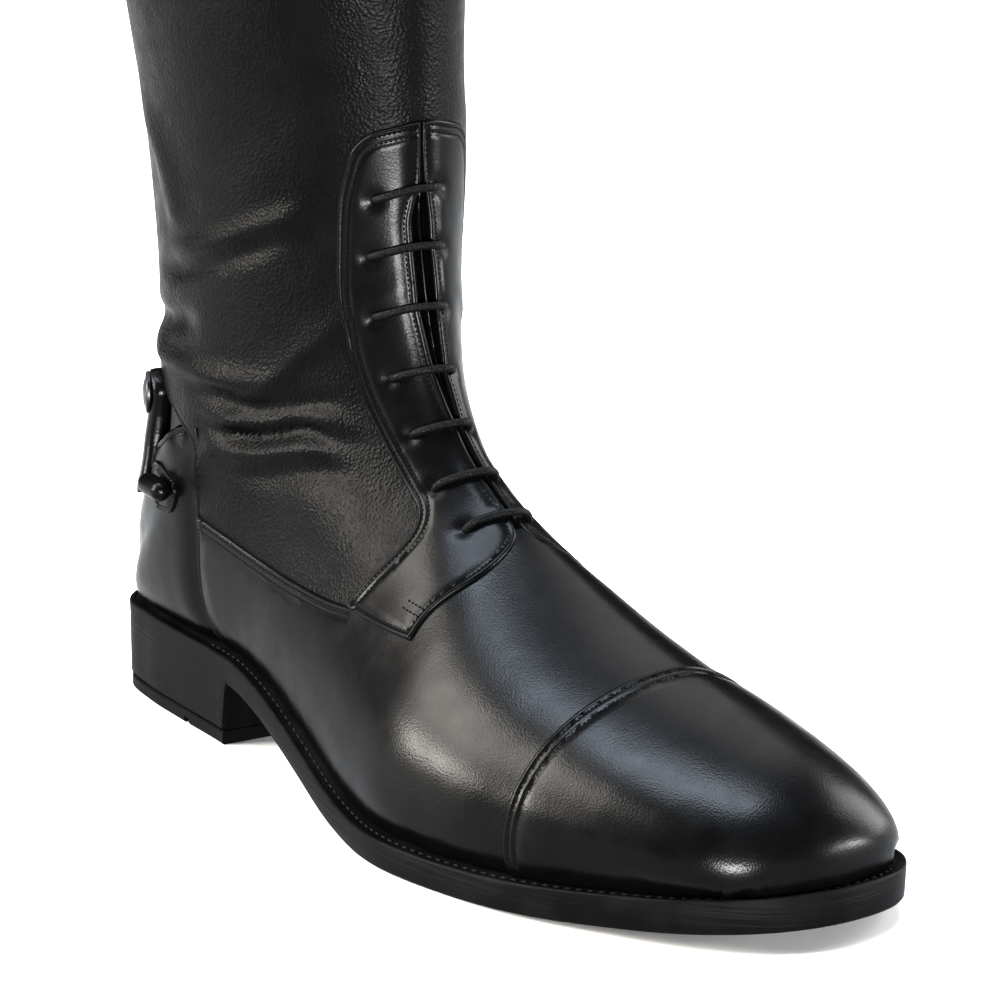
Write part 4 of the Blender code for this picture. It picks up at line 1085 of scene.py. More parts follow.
@dataclass
class Panel:
    """One piece of leather cut to an outline on the upper.

    Attributes:
        name: the piece's name.
        stretches: its outline, one stretch after another.
        level: how far its face stands off the upper.
        thick: the height of its cut edge.
        rounding: how far in from its edge the face rounds over.
        spacing: the distance between its points.
        sinks: where it is pressed in.
        groove: depth and width of the groove that each stitch row lies in.
    """

    name: str
    stretches: list[Stretch]
    level: float
    thick: float
    rounding: float = 1.1
    spacing: float = 2.4
    sinks: list[Sink] = field(default_factory=list)
    groove: tuple[float, float] = (0.45, 0.6)

    def _outline(self, form: BootForm) -> tuple[Array, Array, list[tuple[int, int, tuple]]]:
        """Work out the closed outline.

        Args:
            form: the boot's form.

        Returns:
            Its places as distance along the boot and reach, whether each is on a cut edge, and for each
            stretch its first and last index and its stitch rows.
        """
        points, cut, spans = [], [], []
        for stretch in self.stretches:
            flat = np.array(stretch.places, dtype=float)
            flat[:, 0] = np.interp(flat[:, 0], form.stations, form.distance)
            fine = curve_through(flat, 16, closed=False)
            even = resample(fine, self._solid(form, fine), min(self.spacing * 0.6, 1.3))
            spans.append((len(points), len(points) + len(even) - 1, stretch.rows))
            points += list(even[:-1])
            cut += [stretch.kind is EdgeKind.CUT] * (len(even) - 1)
        return np.array(points), np.array(cut), spans

    @staticmethod
    def _solid(form: BootForm, flat: Array, out: Array = 0.0) -> Array:
        """Return the places of flat points: distance along the boot and reach."""
        return form.place(np.interp(flat[:, 0], form.distance, form.stations), flat[:, 1], out)

    def _inward(self, form: BootForm, outline: Array) -> Array:
        """Return the flat step that leads one millimetre in from each place of the outline."""
        step = 0.05
        turn = np.roll(outline, -1, axis=0) - np.roll(outline, 1, axis=0)
        area = np.sum(outline[:, 0] * np.roll(outline[:, 1], -1) - outline[:, 1] * np.roll(outline[:, 0], -1))
        left = np.stack([-turn[:, 1], turn[:, 0]], axis=1) * np.sign(area)
        along, across = ((self._solid(form, outline + way) - self._solid(form, outline - way)) / (2 * step)
                         for way in np.diag((step, step)))
        outward = np.cross(across, along)
        tangent = along * turn[:, :1] + across * turn[:, 1:]
        inward = np.cross(outward, tangent)
        inward /= np.linalg.norm(inward, axis=1)[:, None] + 1e-9
        along_square, across_square = (along * along).sum(1), (across * across).sum(1)
        mixed = (along * across).sum(1)
        first, second = (along * inward).sum(1), (across * inward).sum(1)
        scale = along_square * across_square - mixed * mixed + 1e-9
        flat = np.stack([(first * across_square - second * mixed) / scale,
                         (second * along_square - first * mixed) / scale], axis=1)
        return flat * np.sign((flat * left).sum(1))[:, None]

    @staticmethod
    def _inside(outline: Array, points: Array) -> Array:
        """Return which points lie inside a closed outline."""
        inside = np.zeros(len(points), dtype=bool)
        for start, end in zip(outline, np.roll(outline, -1, axis=0)):
            if start[1] != end[1]:
                between = (start[1] > points[:, 1]) != (end[1] > points[:, 1])
                crossing = (end[0] - start[0]) * (points[:, 1] - start[1]) / (end[1] - start[1]) + start[0]
                inside ^= between & (points[:, 0] < crossing)
        return inside

    @staticmethod
    def _tree(places: Array) -> kdtree.KDTree:
        """Return a search tree over places."""
        tree = kdtree.KDTree(len(places))
        for index, place in enumerate(places):
            tree.insert(place, index)
        tree.balance()
        return tree

    def _distance(self, places: Array, targets: Array) -> Array:
        """Return how far each place is from the nearest target."""
        tree = self._tree(targets)
        return np.array([tree.find(place)[2] for place in places])

    def _out(self, solid: Array, edge: Array | None) -> Array:
        """Return how far each place of the face stands off the upper, for places at their base."""
        out = np.full(len(solid), self.level)
        if edge is not None:
            part = np.clip(self._distance(solid, edge) / self.rounding, 0.0, 1.0)
            out -= 0.8 * self.rounding * (1.0 - np.sqrt(1.0 - (1.0 - part) ** 2))
        for sink in self.sinks:
            out -= sink.depth * np.exp(-(self._distance(solid, sink.places) / sink.width) ** 2)
        return out

    def build(self, form: BootForm,
              material: Material) -> tuple[Item, list[Array]]:
        """Make the panel.

        Args:
            form: the boot's form.
            material: its material.

        Returns:
            The piece, and the lines of its stitch rows.
        """
        outline, cut, spans = self._outline(form)
        count = len(outline)
        inward = self._inward(form, outline)
        base = self._solid(form, outline)
        edge = None
        if cut.any():
            ahead = np.roll(base, -1, axis=0)
            steps = [base + (ahead - base) * part for part in (0.0, 0.25, 0.5, 0.75)]
            edge = np.concatenate([step[cut] for step in steps])
        rings = [outline + inward * self.rounding * part for part in (0.25, 0.6, 1.05)]
        rows = self._rows(outline, inward, spans)
        depth, width = self.groove
        for first, last, distances in spans:
            index = np.arange(first, last + 1) % count
            rings += [outline[index] + inward[index] * (distance + shift)
                      for distance in distances for shift in (-1.2 * width, 0.0, 1.2 * width)]
        for row in rows:
            base_row = self._solid(form, row)
            self.sinks.append(Sink(resample(base_row, base_row, 0.3), depth, width))
        lows, highs = outline.min(axis=0), outline.max(axis=0)
        grid = np.stack(np.meshgrid(np.arange(lows[0], highs[0], self.spacing),
                                    np.arange(lows[1], highs[1], self.spacing), indexing="ij"), axis=-1)
        grid[::2, :, 1] += self.spacing / 2.0
        filling = np.concatenate([*rings, grid.reshape(-1, 2)])
        filling = filling[self._inside(outline, filling)]
        clear = self._distance(self._solid(form, filling), base)
        near_ring = np.arange(len(filling)) < sum(map(len, rings))
        keep = clear > np.where(near_ring, 0.2 * self.rounding, self._margin(spans) + 0.4 * self.spacing)
        points = np.concatenate([outline, filling[keep]])
        loop = [(index, (index + 1) % count) for index in range(count)]
        result = geometry.delaunay_2d_cdt([Vector(point) for point in points], loop, [], 1, 1e-4)
        flat = np.array([tuple(point) for point in result[0]])
        faces = np.array(result[2])
        corners = flat[faces]
        first, second = corners[:, 1] - corners[:, 0], corners[:, 2] - corners[:, 0]
        turned = first[:, 0] * second[:, 1] - first[:, 1] * second[:, 0] < 0.0
        faces[turned] = faces[turned][:, ::-1]
        face_places = self._solid(form, flat, self._out(self._solid(form, flat), edge))
        sides = np.concatenate([faces[:, [0, 1]], faces[:, [1, 2]], faces[:, [2, 0]]])
        known = {(int(start), int(end)) for start, end in sides}
        rim = [(start, end) for start, end in known if (end, start) not in known]
        ends = sorted({one for side in rim for one in side})
        low = {start: len(flat) + index for index, start in enumerate(ends)}
        skirt = self._solid(form, flat[list(low)], self.level - self.thick)
        walls = [(end, start, low[start], low[end]) for start, end in sorted(rim)]
        piece = mesh_object(self.name, np.concatenate([face_places, skirt]), list(faces) + walls, material)
        return piece, [self._solid(form, row, self._out(self._solid(form, row), edge)) for row in rows]

    def _margin(self, spans: list) -> float:
        """Return how far in from the outline the rings of points reach."""
        deepest = max((distance for _, _, rows in spans for distance in rows), default=0.0)
        return max(1.1 * self.rounding, deepest + 1.2 * self.groove[1] if deepest < 6.0 else 0.0)

    @staticmethod
    def _rows(outline: Array, inward: Array, spans: list) -> list[Array]:
        """Return the flat lines of the stitch rows: distance along the boot and reach."""
        lines = []
        for first, last, rows in spans:
            index = np.arange(first, last + 1) % len(outline)
            for distance in rows:
                flat = (outline[index] + inward[index] * distance)[3:-3]
                kernel = np.ones(5) / 5.0
                for axis in range(2):
                    padded = np.pad(flat[:, axis], 2, mode="edge")
                    flat[2:-2, axis] = np.convolve(padded, kernel, mode="valid")[2:-2]
                lines.append(flat)
        return lines


class UpperWork:
    """The upper's wall with its lining, and the leather panels on it."""

    SLIT_STATIONS = (11.5, 21.5)
    ZIP_EDGE = 3.5
    WALL_OUT = -2.6
    LINING_OUT = -3.2
    CAP_STATION = 8.0
    CAP_LEVEL = 1.7
    CAP_ROWS = (1.9, 4.2)
    VAMP_LEVEL = 0.9
    VAMP_ROWS = (1.6, 3.4)
    VAMP_SEEN = 5
    COUNTER_LEVEL = 1.3
    SHAFT_SPACING = 1.7
    COLLAR_ROW = 7.0
    COLLAR_SIZE = (1.9, 2.6)
    COLLAR_DROP = 2.4
    COLLAR_OUT = -1.1
    STITCH = Bead(1.35, 1.05, 0.55)
    FACING_LEVEL = 2.1
    MEDIAL_LEVEL = 1.2
    FACING_TOP_STATION = 23.4
    FACING_OUTER = side_line((130.5, 181.6), (126.2, 179.2), (123.2, 175.3), (121.6, 169.5),
                             (120.2, 162.0), (119.6, 148.0), (120.0, 136.5), (122.2, 125.0),
                             (125.4, 114.0), (130.7, 104.7), (138.3, 95.5), (145.7, 88.4), (153.4, 82.0),
                             (155.2, 77.5), (154.0, 72.6), (149.0, 64.7), (144.3, 56.8))
    FACING_BOTTOM = side_line((144.3, 56.8), (154.0, 56.0), (175.6, 55.3))
    FACING_FREE = (Spot(10.65, 35.3), Spot(10.52, 18.8), Spot(10.62, 9.5), Spot(10.82, 3.9), Spot(11.15, 1.7))
    MEDIAL_FREE = (Spot(10.65, -35.3), Spot(10.52, -18.8), Spot(10.5, -6.0), Spot(10.7, -0.6),
                   Spot(11.1, 0.4))
    TACK = (Spot(11.05, 36.1), Spot(10.74, 35.4))
    TACK_GAP = 2.3
    VAMP_TOP = side_line((67.3, 64.8), (84.8, 61.6), (104.5, 58.5), (125.2, 56.6), (148.0, 57.6),
                         (156.0, 60.0), (164.0, 65.0))
    VAMP_REAR = side_line((71.0, 26.8), (69.3, 30.2), (66.6, 38.2), (65.8, 45.3), (66.7, 55.9),
                          (67.3, 64.8))
    SHAFT_LOW = side_line((66.5, 58.0), (84.0, 54.0), (104.0, 51.0), (124.0, 50.0), (142.0, 52.0),
                          (158.0, 60.0))
    SHAFT_REAR = side_line((66.5, 58.0), (66.1, 71.0), (66.4, 80.0), (65.8, 84.4), (60.2, 87.6),
                           (52.8, 90.6), (41.9, 93.6), (30.0, 97.5), (18.0, 103.0))
    SHAFT_BACK_UP = 105.0
    COUNTER_TOP = side_line((6.0, 71.0), (20.0, 73.0), (33.3, 76.2), (46.7, 82.0), (52.3, 85.6),
                            (57.5, 88.2), (62.5, 89.4), (68.8, 90.0))
    COUNTER_FRONT = side_line((68.8, 90.0), (69.4, 80.0), (69.4, 64.0), (68.8, 47.0), (70.0, 37.0),
                              (75.0, 27.3))
    COUNTER_BACK_UP = 70.5

    def __init__(self, form: BootForm, finishes: Finishes, tree: RepeatTree) -> None:
        """Keep what the panels are made from.

        Args:
            form: the boot's form.
            finishes: the boot's materials.
            tree: the node tree that sets stitches.
        """
        self.form = form
        self.finishes = finishes
        self.tree = tree
        self.rows: list[Array] = []

    def _add(self, panel: Panel, material: Material, slot: str, *nodes: str) -> None:
        """Build a panel, keep its stitch rows and tie it to the boot."""
        piece, rows = panel.build(self.form, material)
        self.rows += rows
        settle(piece, slot, *nodes)

    def _feather(self, start: float, end: float, lateral: bool) -> Array:
        """Return the upper's low edge between two stations on one side."""
        stations = np.linspace(start, end, 24)
        reach = self.form.length(stations, lateral) - 0.1
        return np.stack([stations, reach if lateral else -reach], axis=1)

    def build_wall(self) -> None:
        """Make the hollow wall behind the panels: dark outside, lined inside."""
        form = self.form
        stations = np.unique(np.concatenate([np.linspace(0.0, LAST_STATION, 250),
                                             np.linspace(16.5, 19.0, 40), self.SLIT_STATIONS]))
        shares = np.linspace(0.0, 1.0, 60)
        sides = []
        for lateral in (False, True):
            length = form.length(stations, lateral)[:, None] * (1.0 if lateral else -1.0)
            edge = form.slit_edge(stations, lateral)[:, None]
            reach = edge + (length - edge) * shares[None, :]
            sides.append(reach if lateral else reach[:, ::-1])
        reach = np.concatenate(sides, axis=1)
        columns = reach.shape[1]
        first, last = self.SLIT_STATIONS
        sheet = [face for face in grid_faces(len(stations), columns)
                 if face[0] % columns != len(shares) - 1 or not first <= stations[face[0] // columns] < last]
        places = [form.place(stations[:, None], reach, out).reshape(-1, 3)
                  for out in (self.WALL_OUT, self.LINING_OUT)]
        faces = sheet + [tuple(corner + len(places[0]) for corner in face) for face in turned_over(sheet)]
        piece = mesh_object("upper_wall", np.concatenate(places), faces, self.finishes.gore)
        piece.data.materials.append(self.finishes.lining)
        for face in piece.data.polygons:
            face.material_index = int(face.index >= len(sheet))
        settle(piece, "grained_leather", "upper")

    def build_shaft(self) -> None:
        """Make the grained shaft, open at the slit and along the zip."""
        form = self.form
        low, rear = (form.find(line, True) for line in (self.SHAFT_LOW, self.SHAFT_REAR))
        medial_low, medial_rear = (form.find(line, False) for line in (self.SHAFT_LOW, self.SHAFT_REAR))
        zip_low = form.at_back(self.SHAFT_BACK_UP)
        stations = np.linspace(zip_low, LAST_STATION, 40)
        zip_lateral = np.stack([stations, form.length(stations, True) - self.ZIP_EDGE], axis=1)
        zip_medial = np.stack([stations, -form.length(stations, False) + self.ZIP_EDGE], axis=1)
        rear = np.vstack([rear[:-1], zip_lateral[:1]])
        medial_rear = np.vstack([medial_rear[:-1], zip_medial[:1]])
        collar = np.stack([np.full(30, float(LAST_STATION)),
                           np.linspace(zip_lateral[-1, 1], zip_medial[-1, 1], 30)], axis=1)
        slit = np.linspace(self.SLIT_STATIONS[0] - 0.1, self.SLIT_STATIONS[1], 24)
        slit_lateral = np.stack([slit, form.slit_edge(slit, True)], axis=1)
        slit_medial = np.stack([slit, form.slit_edge(slit, False)], axis=1)
        stretches = [
            Stretch(np.vstack([slit_lateral[:1], low[::-1]])),
            Stretch(rear, EdgeKind.CUT, (1.3,)),
            Stretch(zip_lateral, EdgeKind.CUT, (2.2,)),
            Stretch(collar, EdgeKind.HIDDEN, (self.COLLAR_ROW,)),
            Stretch(zip_medial[::-1], EdgeKind.CUT, (2.2,)),
            Stretch(medial_rear[::-1], EdgeKind.CUT, (1.3,)),
            Stretch(np.vstack([medial_low, slit_medial[:1]])),
            Stretch(slit_medial),
            Stretch(np.vstack([slit_medial[-1:], slit_lateral[-1:]])),
            Stretch(slit_lateral[::-1])]
        panel = Panel("shaft", stretches, 0.0, 1.4, spacing=self.SHAFT_SPACING)
        self._add(panel, self.finishes.shaft, "grained_leather")

    def build_vamp(self) -> None:
        """Make the vamp with its quarters: over the shaft's low edge, under the cap and the lace panels."""
        form = self.form
        sides = {lateral: [form.find(line, lateral) for line in (self.VAMP_TOP, self.VAMP_REAR)]
                 for lateral in (True, False)}
        top, rear = sides[True]
        medial_top, medial_rear = sides[False]
        throat = np.array([Spot(11.0, 5.0), Spot(10.95, 0.0), Spot(11.0, -5.0)])
        start = self.CAP_STATION - 0.5
        lateral_low = self._feather(start, rear[0, 0], True)
        medial_low = self._feather(start, medial_rear[0, 0], False)
        rear = np.vstack([lateral_low[-1:], rear[1:]])
        medial_rear = np.vstack([medial_low[-1:], medial_rear[1:]])
        front = np.linspace(medial_low[0], lateral_low[0], 30)
        seen = self.VAMP_SEEN
        stretches = [
            Stretch(lateral_low),
            Stretch(rear, EdgeKind.CUT, (1.2,)),
            Stretch(top[:seen], EdgeKind.CUT, self.VAMP_ROWS),
            Stretch(np.vstack([top[seen - 1:], throat, medial_top[:seen - 2:-1]])),
            Stretch(medial_top[seen - 1::-1], EdgeKind.CUT, self.VAMP_ROWS),
            Stretch(medial_rear[::-1], EdgeKind.CUT, (1.2,)),
            Stretch(medial_low[::-1]),
            Stretch(front)]
        self._add(Panel("vamp", stretches, self.VAMP_LEVEL, 1.3), self.finishes.smooth, "smooth_leather")

    def build_cap(self) -> None:
        """Make the toe cap, raised over the vamp and double stitched along its seam."""
        lateral_low = self._feather(0.0, self.CAP_STATION, True)
        medial_low = self._feather(0.0, self.CAP_STATION, False)
        seam = np.linspace(lateral_low[-1], medial_low[-1], 30)
        toe = np.linspace(medial_low[0], lateral_low[0], 40)
        stretches = [Stretch(lateral_low), Stretch(seam, EdgeKind.CUT, self.CAP_ROWS),
                     Stretch(medial_low[::-1]), Stretch(toe)]
        panel = Panel("cap", stretches, self.CAP_LEVEL, 1.4)
        self._add(panel, self.finishes.smooth, "smooth_leather", "toe_cap")

    def build_counter(self) -> None:
        """Make the heel counter in two halves, its front edge tucked under the vamp and the shaft."""
        form = self.form
        for name, lateral in (("counter_lateral", True), ("counter_medial", False)):
            top, front = (form.find(line, lateral) for line in (self.COUNTER_TOP, self.COUNTER_FRONT))
            seam = np.vstack([form.place(*form.find(line, lateral).T)
                              for line in (self.VAMP_REAR, self.SHAFT_REAR[1:5])])
            seam = curve_through(seam, 8, closed=False)
            seam = resample(seam, seam, 1.0)
            side = 1.0 if lateral else -1.0
            back_top = form.at_back(self.COUNTER_BACK_UP)
            stations = np.linspace(back_top, HEEL_STATION + 0.02, 24)
            back = np.stack([stations, side * form.length(stations, lateral)], axis=1)
            low = self._feather(HEEL_STATION + 0.02, front[-1, 0], lateral)
            top = np.vstack([back[:1], top[1:]])
            front = np.vstack([front[:-1], low[-1:]])
            stretches = [Stretch(back[::-1]), Stretch(top, EdgeKind.CUT, (2.0,)),
                         Stretch(front), Stretch(low[::-1])]
            panel = Panel(name, stretches, self.COUNTER_LEVEL, 1.5, sinks=[Sink(seam, 2.4, 5.5)])
            self._add(panel, self.finishes.smooth, "smooth_leather", *(("heel_counter",) if lateral else ()))

    def build_facings(self, holes: list[Array]) -> None:
        """Make the lace panels on each side of the slit.

        Args:
            holes: the places of the lace holes on each side, lateral first.
        """
        form = self.form
        for name, lateral, side_holes in (("lace_panel_lateral", True, holes[0]),
                                          ("lace_panel_medial", False, holes[1])):
            outer, bottom = (form.find(line, lateral) for line in (self.FACING_OUTER, self.FACING_BOTTOM))
            free = np.array(self.FACING_FREE if lateral else self.MEDIAL_FREE)
            slit = np.linspace(free[-1, 0] + 0.25, self.SLIT_STATIONS[1] - 0.2, 20)
            seam = np.linspace(self.SLIT_STATIONS[1] - 0.2, self.FACING_TOP_STATION, 6)
            slit = np.stack([slit, form.slit_edge(slit, lateral)], axis=1)
            seam = np.stack([seam, form.slit_edge(seam, lateral)], axis=1)
            stretches = [
                Stretch(np.vstack([seam[-1:], outer]), EdgeKind.CUT, (1.5, 3.3)),
                Stretch(bottom, EdgeKind.CUT, (1.7,)),
                Stretch(np.vstack([bottom[-1:], free, slit[:1]]), EdgeKind.CUT, (1.8,)),
                Stretch(slit, EdgeKind.CUT, (2.0,)),
                Stretch(seam, EdgeKind.CUT, (1.2,))]
            level = self.FACING_LEVEL if lateral else self.MEDIAL_LEVEL
            panel = Panel(name, stretches, level, level + 0.1, spacing=1.1,
                          sinks=[Sink(side_holes, 0.9, 2.4)])
            self._add(panel, self.finishes.facing, "smooth_leather", "facing_" + name.rsplit("_", 1)[1])
            self._add_tack(lateral)

    def _add_tack(self, lateral: bool) -> None:
        """Keep the two short stitch rows that fasten a lace panel's low corner."""
        first, last = self.TACK
        share = np.linspace(0.0, 1.0, 8)
        stations = first.station + (last.station - first.station) * share
        for shift in (0.0, self.TACK_GAP):
            reach = (first.reach + (last.reach - first.reach) * share + shift) * (1.0 if lateral else -1.0)
            self.rows.append(self.form.place(stations, reach, self.FACING_LEVEL))

    def build_collar(self) -> None:
        """Make the rolled binding round the collar."""
        form = self.form
        reach = np.linspace(-form.length(LAST_STATION, False) + self.ZIP_EDGE,
                            form.length(LAST_STATION, True) - self.ZIP_EDGE, 200)
        turn = full_turn(14)
        ring = form.place(LAST_STATION, reach, self.COLLAR_OUT)
        up = unit(ring - form.place(LAST_STATION - 0.1, reach, self.COLLAR_OUT))
        outer = unit(form.place(LAST_STATION, reach) - ring)
        wide, high = self.COLLAR_SIZE
        places = ring[:, None] + (outer[:, None] * np.cos(turn)[None, :, None] * wide
                                  + up[:, None] * (np.sin(turn)[None, :, None] * high - self.COLLAR_DROP))
        piece = mesh_object("collar_binding", places.reshape(-1, 3),
                            grid_faces(len(reach), len(turn), close_columns=True), self.finishes.smooth)
        settle(piece, "smooth_leather")

    def build_stitches(self) -> None:
        """Set the black stitches of every panel."""
        piece = self.tree.run("upper_stitches", self.rows, self.STITCH, self.finishes.thread)
        settle(piece, "smooth_leather")


@dataclass
class Lacing:
    """The tongue and the elastic lace across the slit.

    Attributes:
        bars: the bars of lace, from the top down.
        radius: the lace's radius.
        out: how far the lace's middle stands off the upper.
        medial_drop: how much less it stands off at its medial end.
        dip_length: how far from each hole the lace starts to dip.
        dip_depth: how deep its ends lie inside the holes.
        past_hole: how far its ends run on past the middle of the holes.
        near_hole: how far in from each hole its next two points lie.
        tongue_stations: where the tongue starts and ends.
        tongue_reach: how far it reaches round each side, medial first.
        tongue_out: how far off the upper its face lies.
        tongue_ridge: how high the ridge along its middle is.
        tongue_back: how far off the upper its back lies.
    """

    bars: tuple[LaceBar, ...] = LACE_BARS
    radius: float = 1.1
    out: float = 3.15
    medial_drop: float = 0.9
    dip_length: float = 4.5
    dip_depth: float = 1.0
    past_hole: float = 0.2
    near_hole: tuple[float, float] = (0.35, 0.9)
    tongue_stations: tuple[float, float] = (10.6, 22.8)
    tongue_reach: tuple[float, float] = (-8.0, 12.0)
    tongue_out: float = -2.2
    tongue_ridge: float = 1.9
    tongue_back: float = -3.6

    @staticmethod
    def _stations(bar: LaceBar, reach: Array) -> Array:
        """Return the stations of one bar at each reach."""
        return bar.middle + (bar.lateral_end - bar.middle) * np.clip(reach / bar.lateral, 0.0, 1.1)

    def holes(self, form: BootForm) -> list[Array]:
        """Return the places of the holes on each side, lateral first."""
        sides = []
        for sign in (1.0, -1.0):
            reach = np.array([bar.lateral if sign > 0.0 else -bar.medial for bar in self.bars])
            stations = np.array([float(self._stations(bar, one)) for bar, one in zip(self.bars, reach)])
            sides.append(form.place(stations, reach))
        return sides

    def build(self, form: BootForm, finishes: Finishes) -> None:
        """Make the tongue and the lace bars, which run down through their holes.

        Args:
            form: the boot's form.
            finishes: the boot's materials.
        """
        around, past = 16, self.past_hole
        near, far = self.near_hole
        for number, bar in enumerate(self.bars, start=1):
            inner = np.linspace(far - bar.medial, bar.lateral - far, 15)
            reach = np.concatenate([[-bar.medial - past, -bar.medial, near - bar.medial], inner,
                                    [bar.lateral - near, bar.lateral, bar.lateral + past]])
            out = self.out - self.medial_drop * np.clip(-reach / bar.medial, 0.0, 1.0)
            ends = np.minimum(reach + bar.medial, bar.lateral - reach) + past
            share = np.clip(ends / self.dip_length, 0.0, 1.0)
            out = (out + self.dip_depth) * np.sqrt(share * (2.0 - share)) - self.dip_depth
            line = curve_through(form.place(self._stations(bar, reach), reach, out), 4, closed=False)
            piece = mesh_object(f"lace_run_{number}", tube(line, self.radius, around).reshape(-1, 3),
                                grid_faces(len(line), around, close_columns=True), finishes.lace)
            settle(piece, "elastic_lace", f"lace_bar_{number}")
        self._tongue(form, finishes)

    def _tongue(self, form: BootForm, finishes: Finishes) -> None:
        """Make the tongue as a soft strip behind the slit, with a low ridge along its middle."""
        stations = np.linspace(*self.tongue_stations, 120)
        reach = np.linspace(*self.tongue_reach, 61)
        middle = (form.slit_edge(stations, True) + form.slit_edge(stations, False))[:, None] / 2.0
        ridge = self.tongue_out + self.tongue_ridge * np.exp(-(reach[None, :] - middle) ** 2)
        upper = form.place(stations[:, None], reach[None, :], ridge)
        lower = form.place(stations[:, None], reach[None, :], self.tongue_back)
        places = np.concatenate([upper, lower[:, ::-1]], axis=1)
        piece = mesh_object("tongue_strip", places.reshape(-1, 3),
                            grid_faces(len(stations), 2 * len(reach), close_columns=True), finishes.smooth)
        settle(piece, "tongue_leather", "tongue")


class SoleWork:
    """The outsole with its heel, the top lift, the welt with its stitches, and the insole."""

    EDGE_ROUND = 0.9
    GROOVE = (53.0, 56.0)
    GROOVE_DEPTH = 1.4
    HEEL_TAPER = 0.6
    LIP_WIDTH = 1.6
    WELT_SINK = 0.35
    WELT_INSET = 0.5
    WELT_WIDTH = 7.6
    STITCH_INSET = 3.3
    STITCH_START = 66.0
    STITCH = Bead(3.2, 2.1, 0.65)
    INSOLE_INSET = 6.2
    INSOLE_END = 0.1
    INSOLE_TOP = 2.8
    INSOLE_LOW = 1.2

    def __init__(self, sole: SoleForm, finishes: Finishes, tree: RepeatTree) -> None:
        """Keep what the sole is made from."""
        self.sole = sole
        self.finishes = finishes
        self.tree = tree

    def _low(self, forward: Array) -> Array:
        """Return the height of the outsole's lower edge, with the heel's block."""
        part = np.clip((forward - HEEL_BREAST) / HEEL_BREAST_LEAN, 0.0, 1.0)
        block = TOP_LIFT_THICK + GAP
        return block * (1.0 - part) + self.sole.under(forward) * part

    def _band(self, name: str, profile: list[tuple[float, Callable]], material: Material,
              closed: bool = False) -> Item:
        """Make a band round the sole's edge.

        Args:
            name: the piece's name.
            profile: from top to bottom, each line's inset and its height by forward place.
            material: its material.
            closed: whether the last line joins the first.

        Returns:
            The piece.
        """
        lines = []
        for inset, height in profile:
            line = self.sole.inset(inset)
            lines.append(np.column_stack([line, height(line[:, 0])]))
        rows = np.array(lines).transpose(1, 0, 2)
        count, columns = rows.shape[:2]
        faces = grid_faces(count, columns, close_rows=True, close_columns=closed)
        return mesh_object(name, rows.reshape(-1, 3), turned_over(faces), material, 60.0)

    def _plate(self, inset: float, start: float, end: float, height: Callable,
               upward: bool) -> tuple[Array, list]:
        """Return a plate across the sole between two forward places.

        Args:
            inset: how far in from the edge it ends.
            start: its rear end.
            end: its front end.
            height: its height by forward place.
            upward: whether it faces up.

        Returns:
            Its points and its faces.
        """
        share = np.linspace(0.0, 1.0, 90)
        forward = np.unique(start + (end - start) * (1.0 - np.cos(share * math.pi)) / 2.0)
        across = np.linspace(0.0, 1.0, 9)
        lateral = self.sole.right(forward, inset, True)[:, None]
        medial = self.sole.right(forward, inset, False)[:, None]
        right = medial + (lateral - medial) * across[None, :]
        places = np.stack([np.broadcast_to(forward[:, None], right.shape), right,
                           np.broadcast_to(height(forward)[:, None], right.shape)], axis=-1)
        faces = grid_faces(len(forward), len(across))
        return places.reshape(-1, 3), faces if upward else turned_over(faces)

    @staticmethod
    def _join(piece: Item, others: list[Item]) -> Item:
        """Join pieces into the first one's mesh and return it."""
        with bpy.context.temp_override(active_object=piece, selected_editable_objects=[piece, *others]):
            bpy.ops.object.join()
        return piece

    def build_outsole(self) -> None:
        """Make the sole's edge with its lip, the underside, the heel's block and its breast."""
        top, low, edge = self.sole.top, self._low, self.EDGE_ROUND
        taper = self.HEEL_TAPER

        def lip(forward: Array) -> Array:
            """Return the height of the lip round the welt."""
            return top(forward) + GAP + WELT_THICK

        wide = self.LIP_WIDTH
        profile = [(9.0, top), (wide + 0.3, top), (wide, lambda f: lip(f) - 0.3), (wide - 0.3, lip),
                   (0.6, lip), (0.15, lambda f: lip(f) - 0.2), (0.0, lambda f: lip(f) - 0.7),
                   (0.15, lambda f: top(f) - SOLE_EDGE * 0.55), (taper * 0.5, lambda f: low(f) + edge),
                   (taper + edge * 0.3, lambda f: low(f) + edge * 0.3), (taper + edge, low)]
        piece = self._band("outsole_edge", profile, self.finishes.heel)
        inset = taper + edge
        breast = HEEL_BREAST + HEEL_BREAST_LEAN
        toe = TOE_FORWARD - inset
        under = [self._plate(inset, breast, toe, self.sole.under, upward=False),
                 self._plate(inset, inset, HEEL_BREAST, low, upward=False),
                 self._plate(inset, HEEL_BREAST, breast, low, upward=False)]
        others = [mesh_object(f"outsole_under_{index}", *plate, self.finishes.sole)
                  for index, plate in enumerate(under)]
        piece = self._join(piece, others)
        piece.name = "outsole_unit"
        settle(piece, "sole_rubber", "outsole")

    def build_top_lift(self) -> None:
        """Make the wearing piece under the heel, with the groove across it."""
        first, last = self.GROOVE
        inset, edge = self.HEEL_TAPER, 0.5

        def low(forward: Array) -> Array:
            """Return the height of the underside, with the groove."""
            return np.where((forward > first) & (forward < last), self.GROOVE_DEPTH, 0.0)

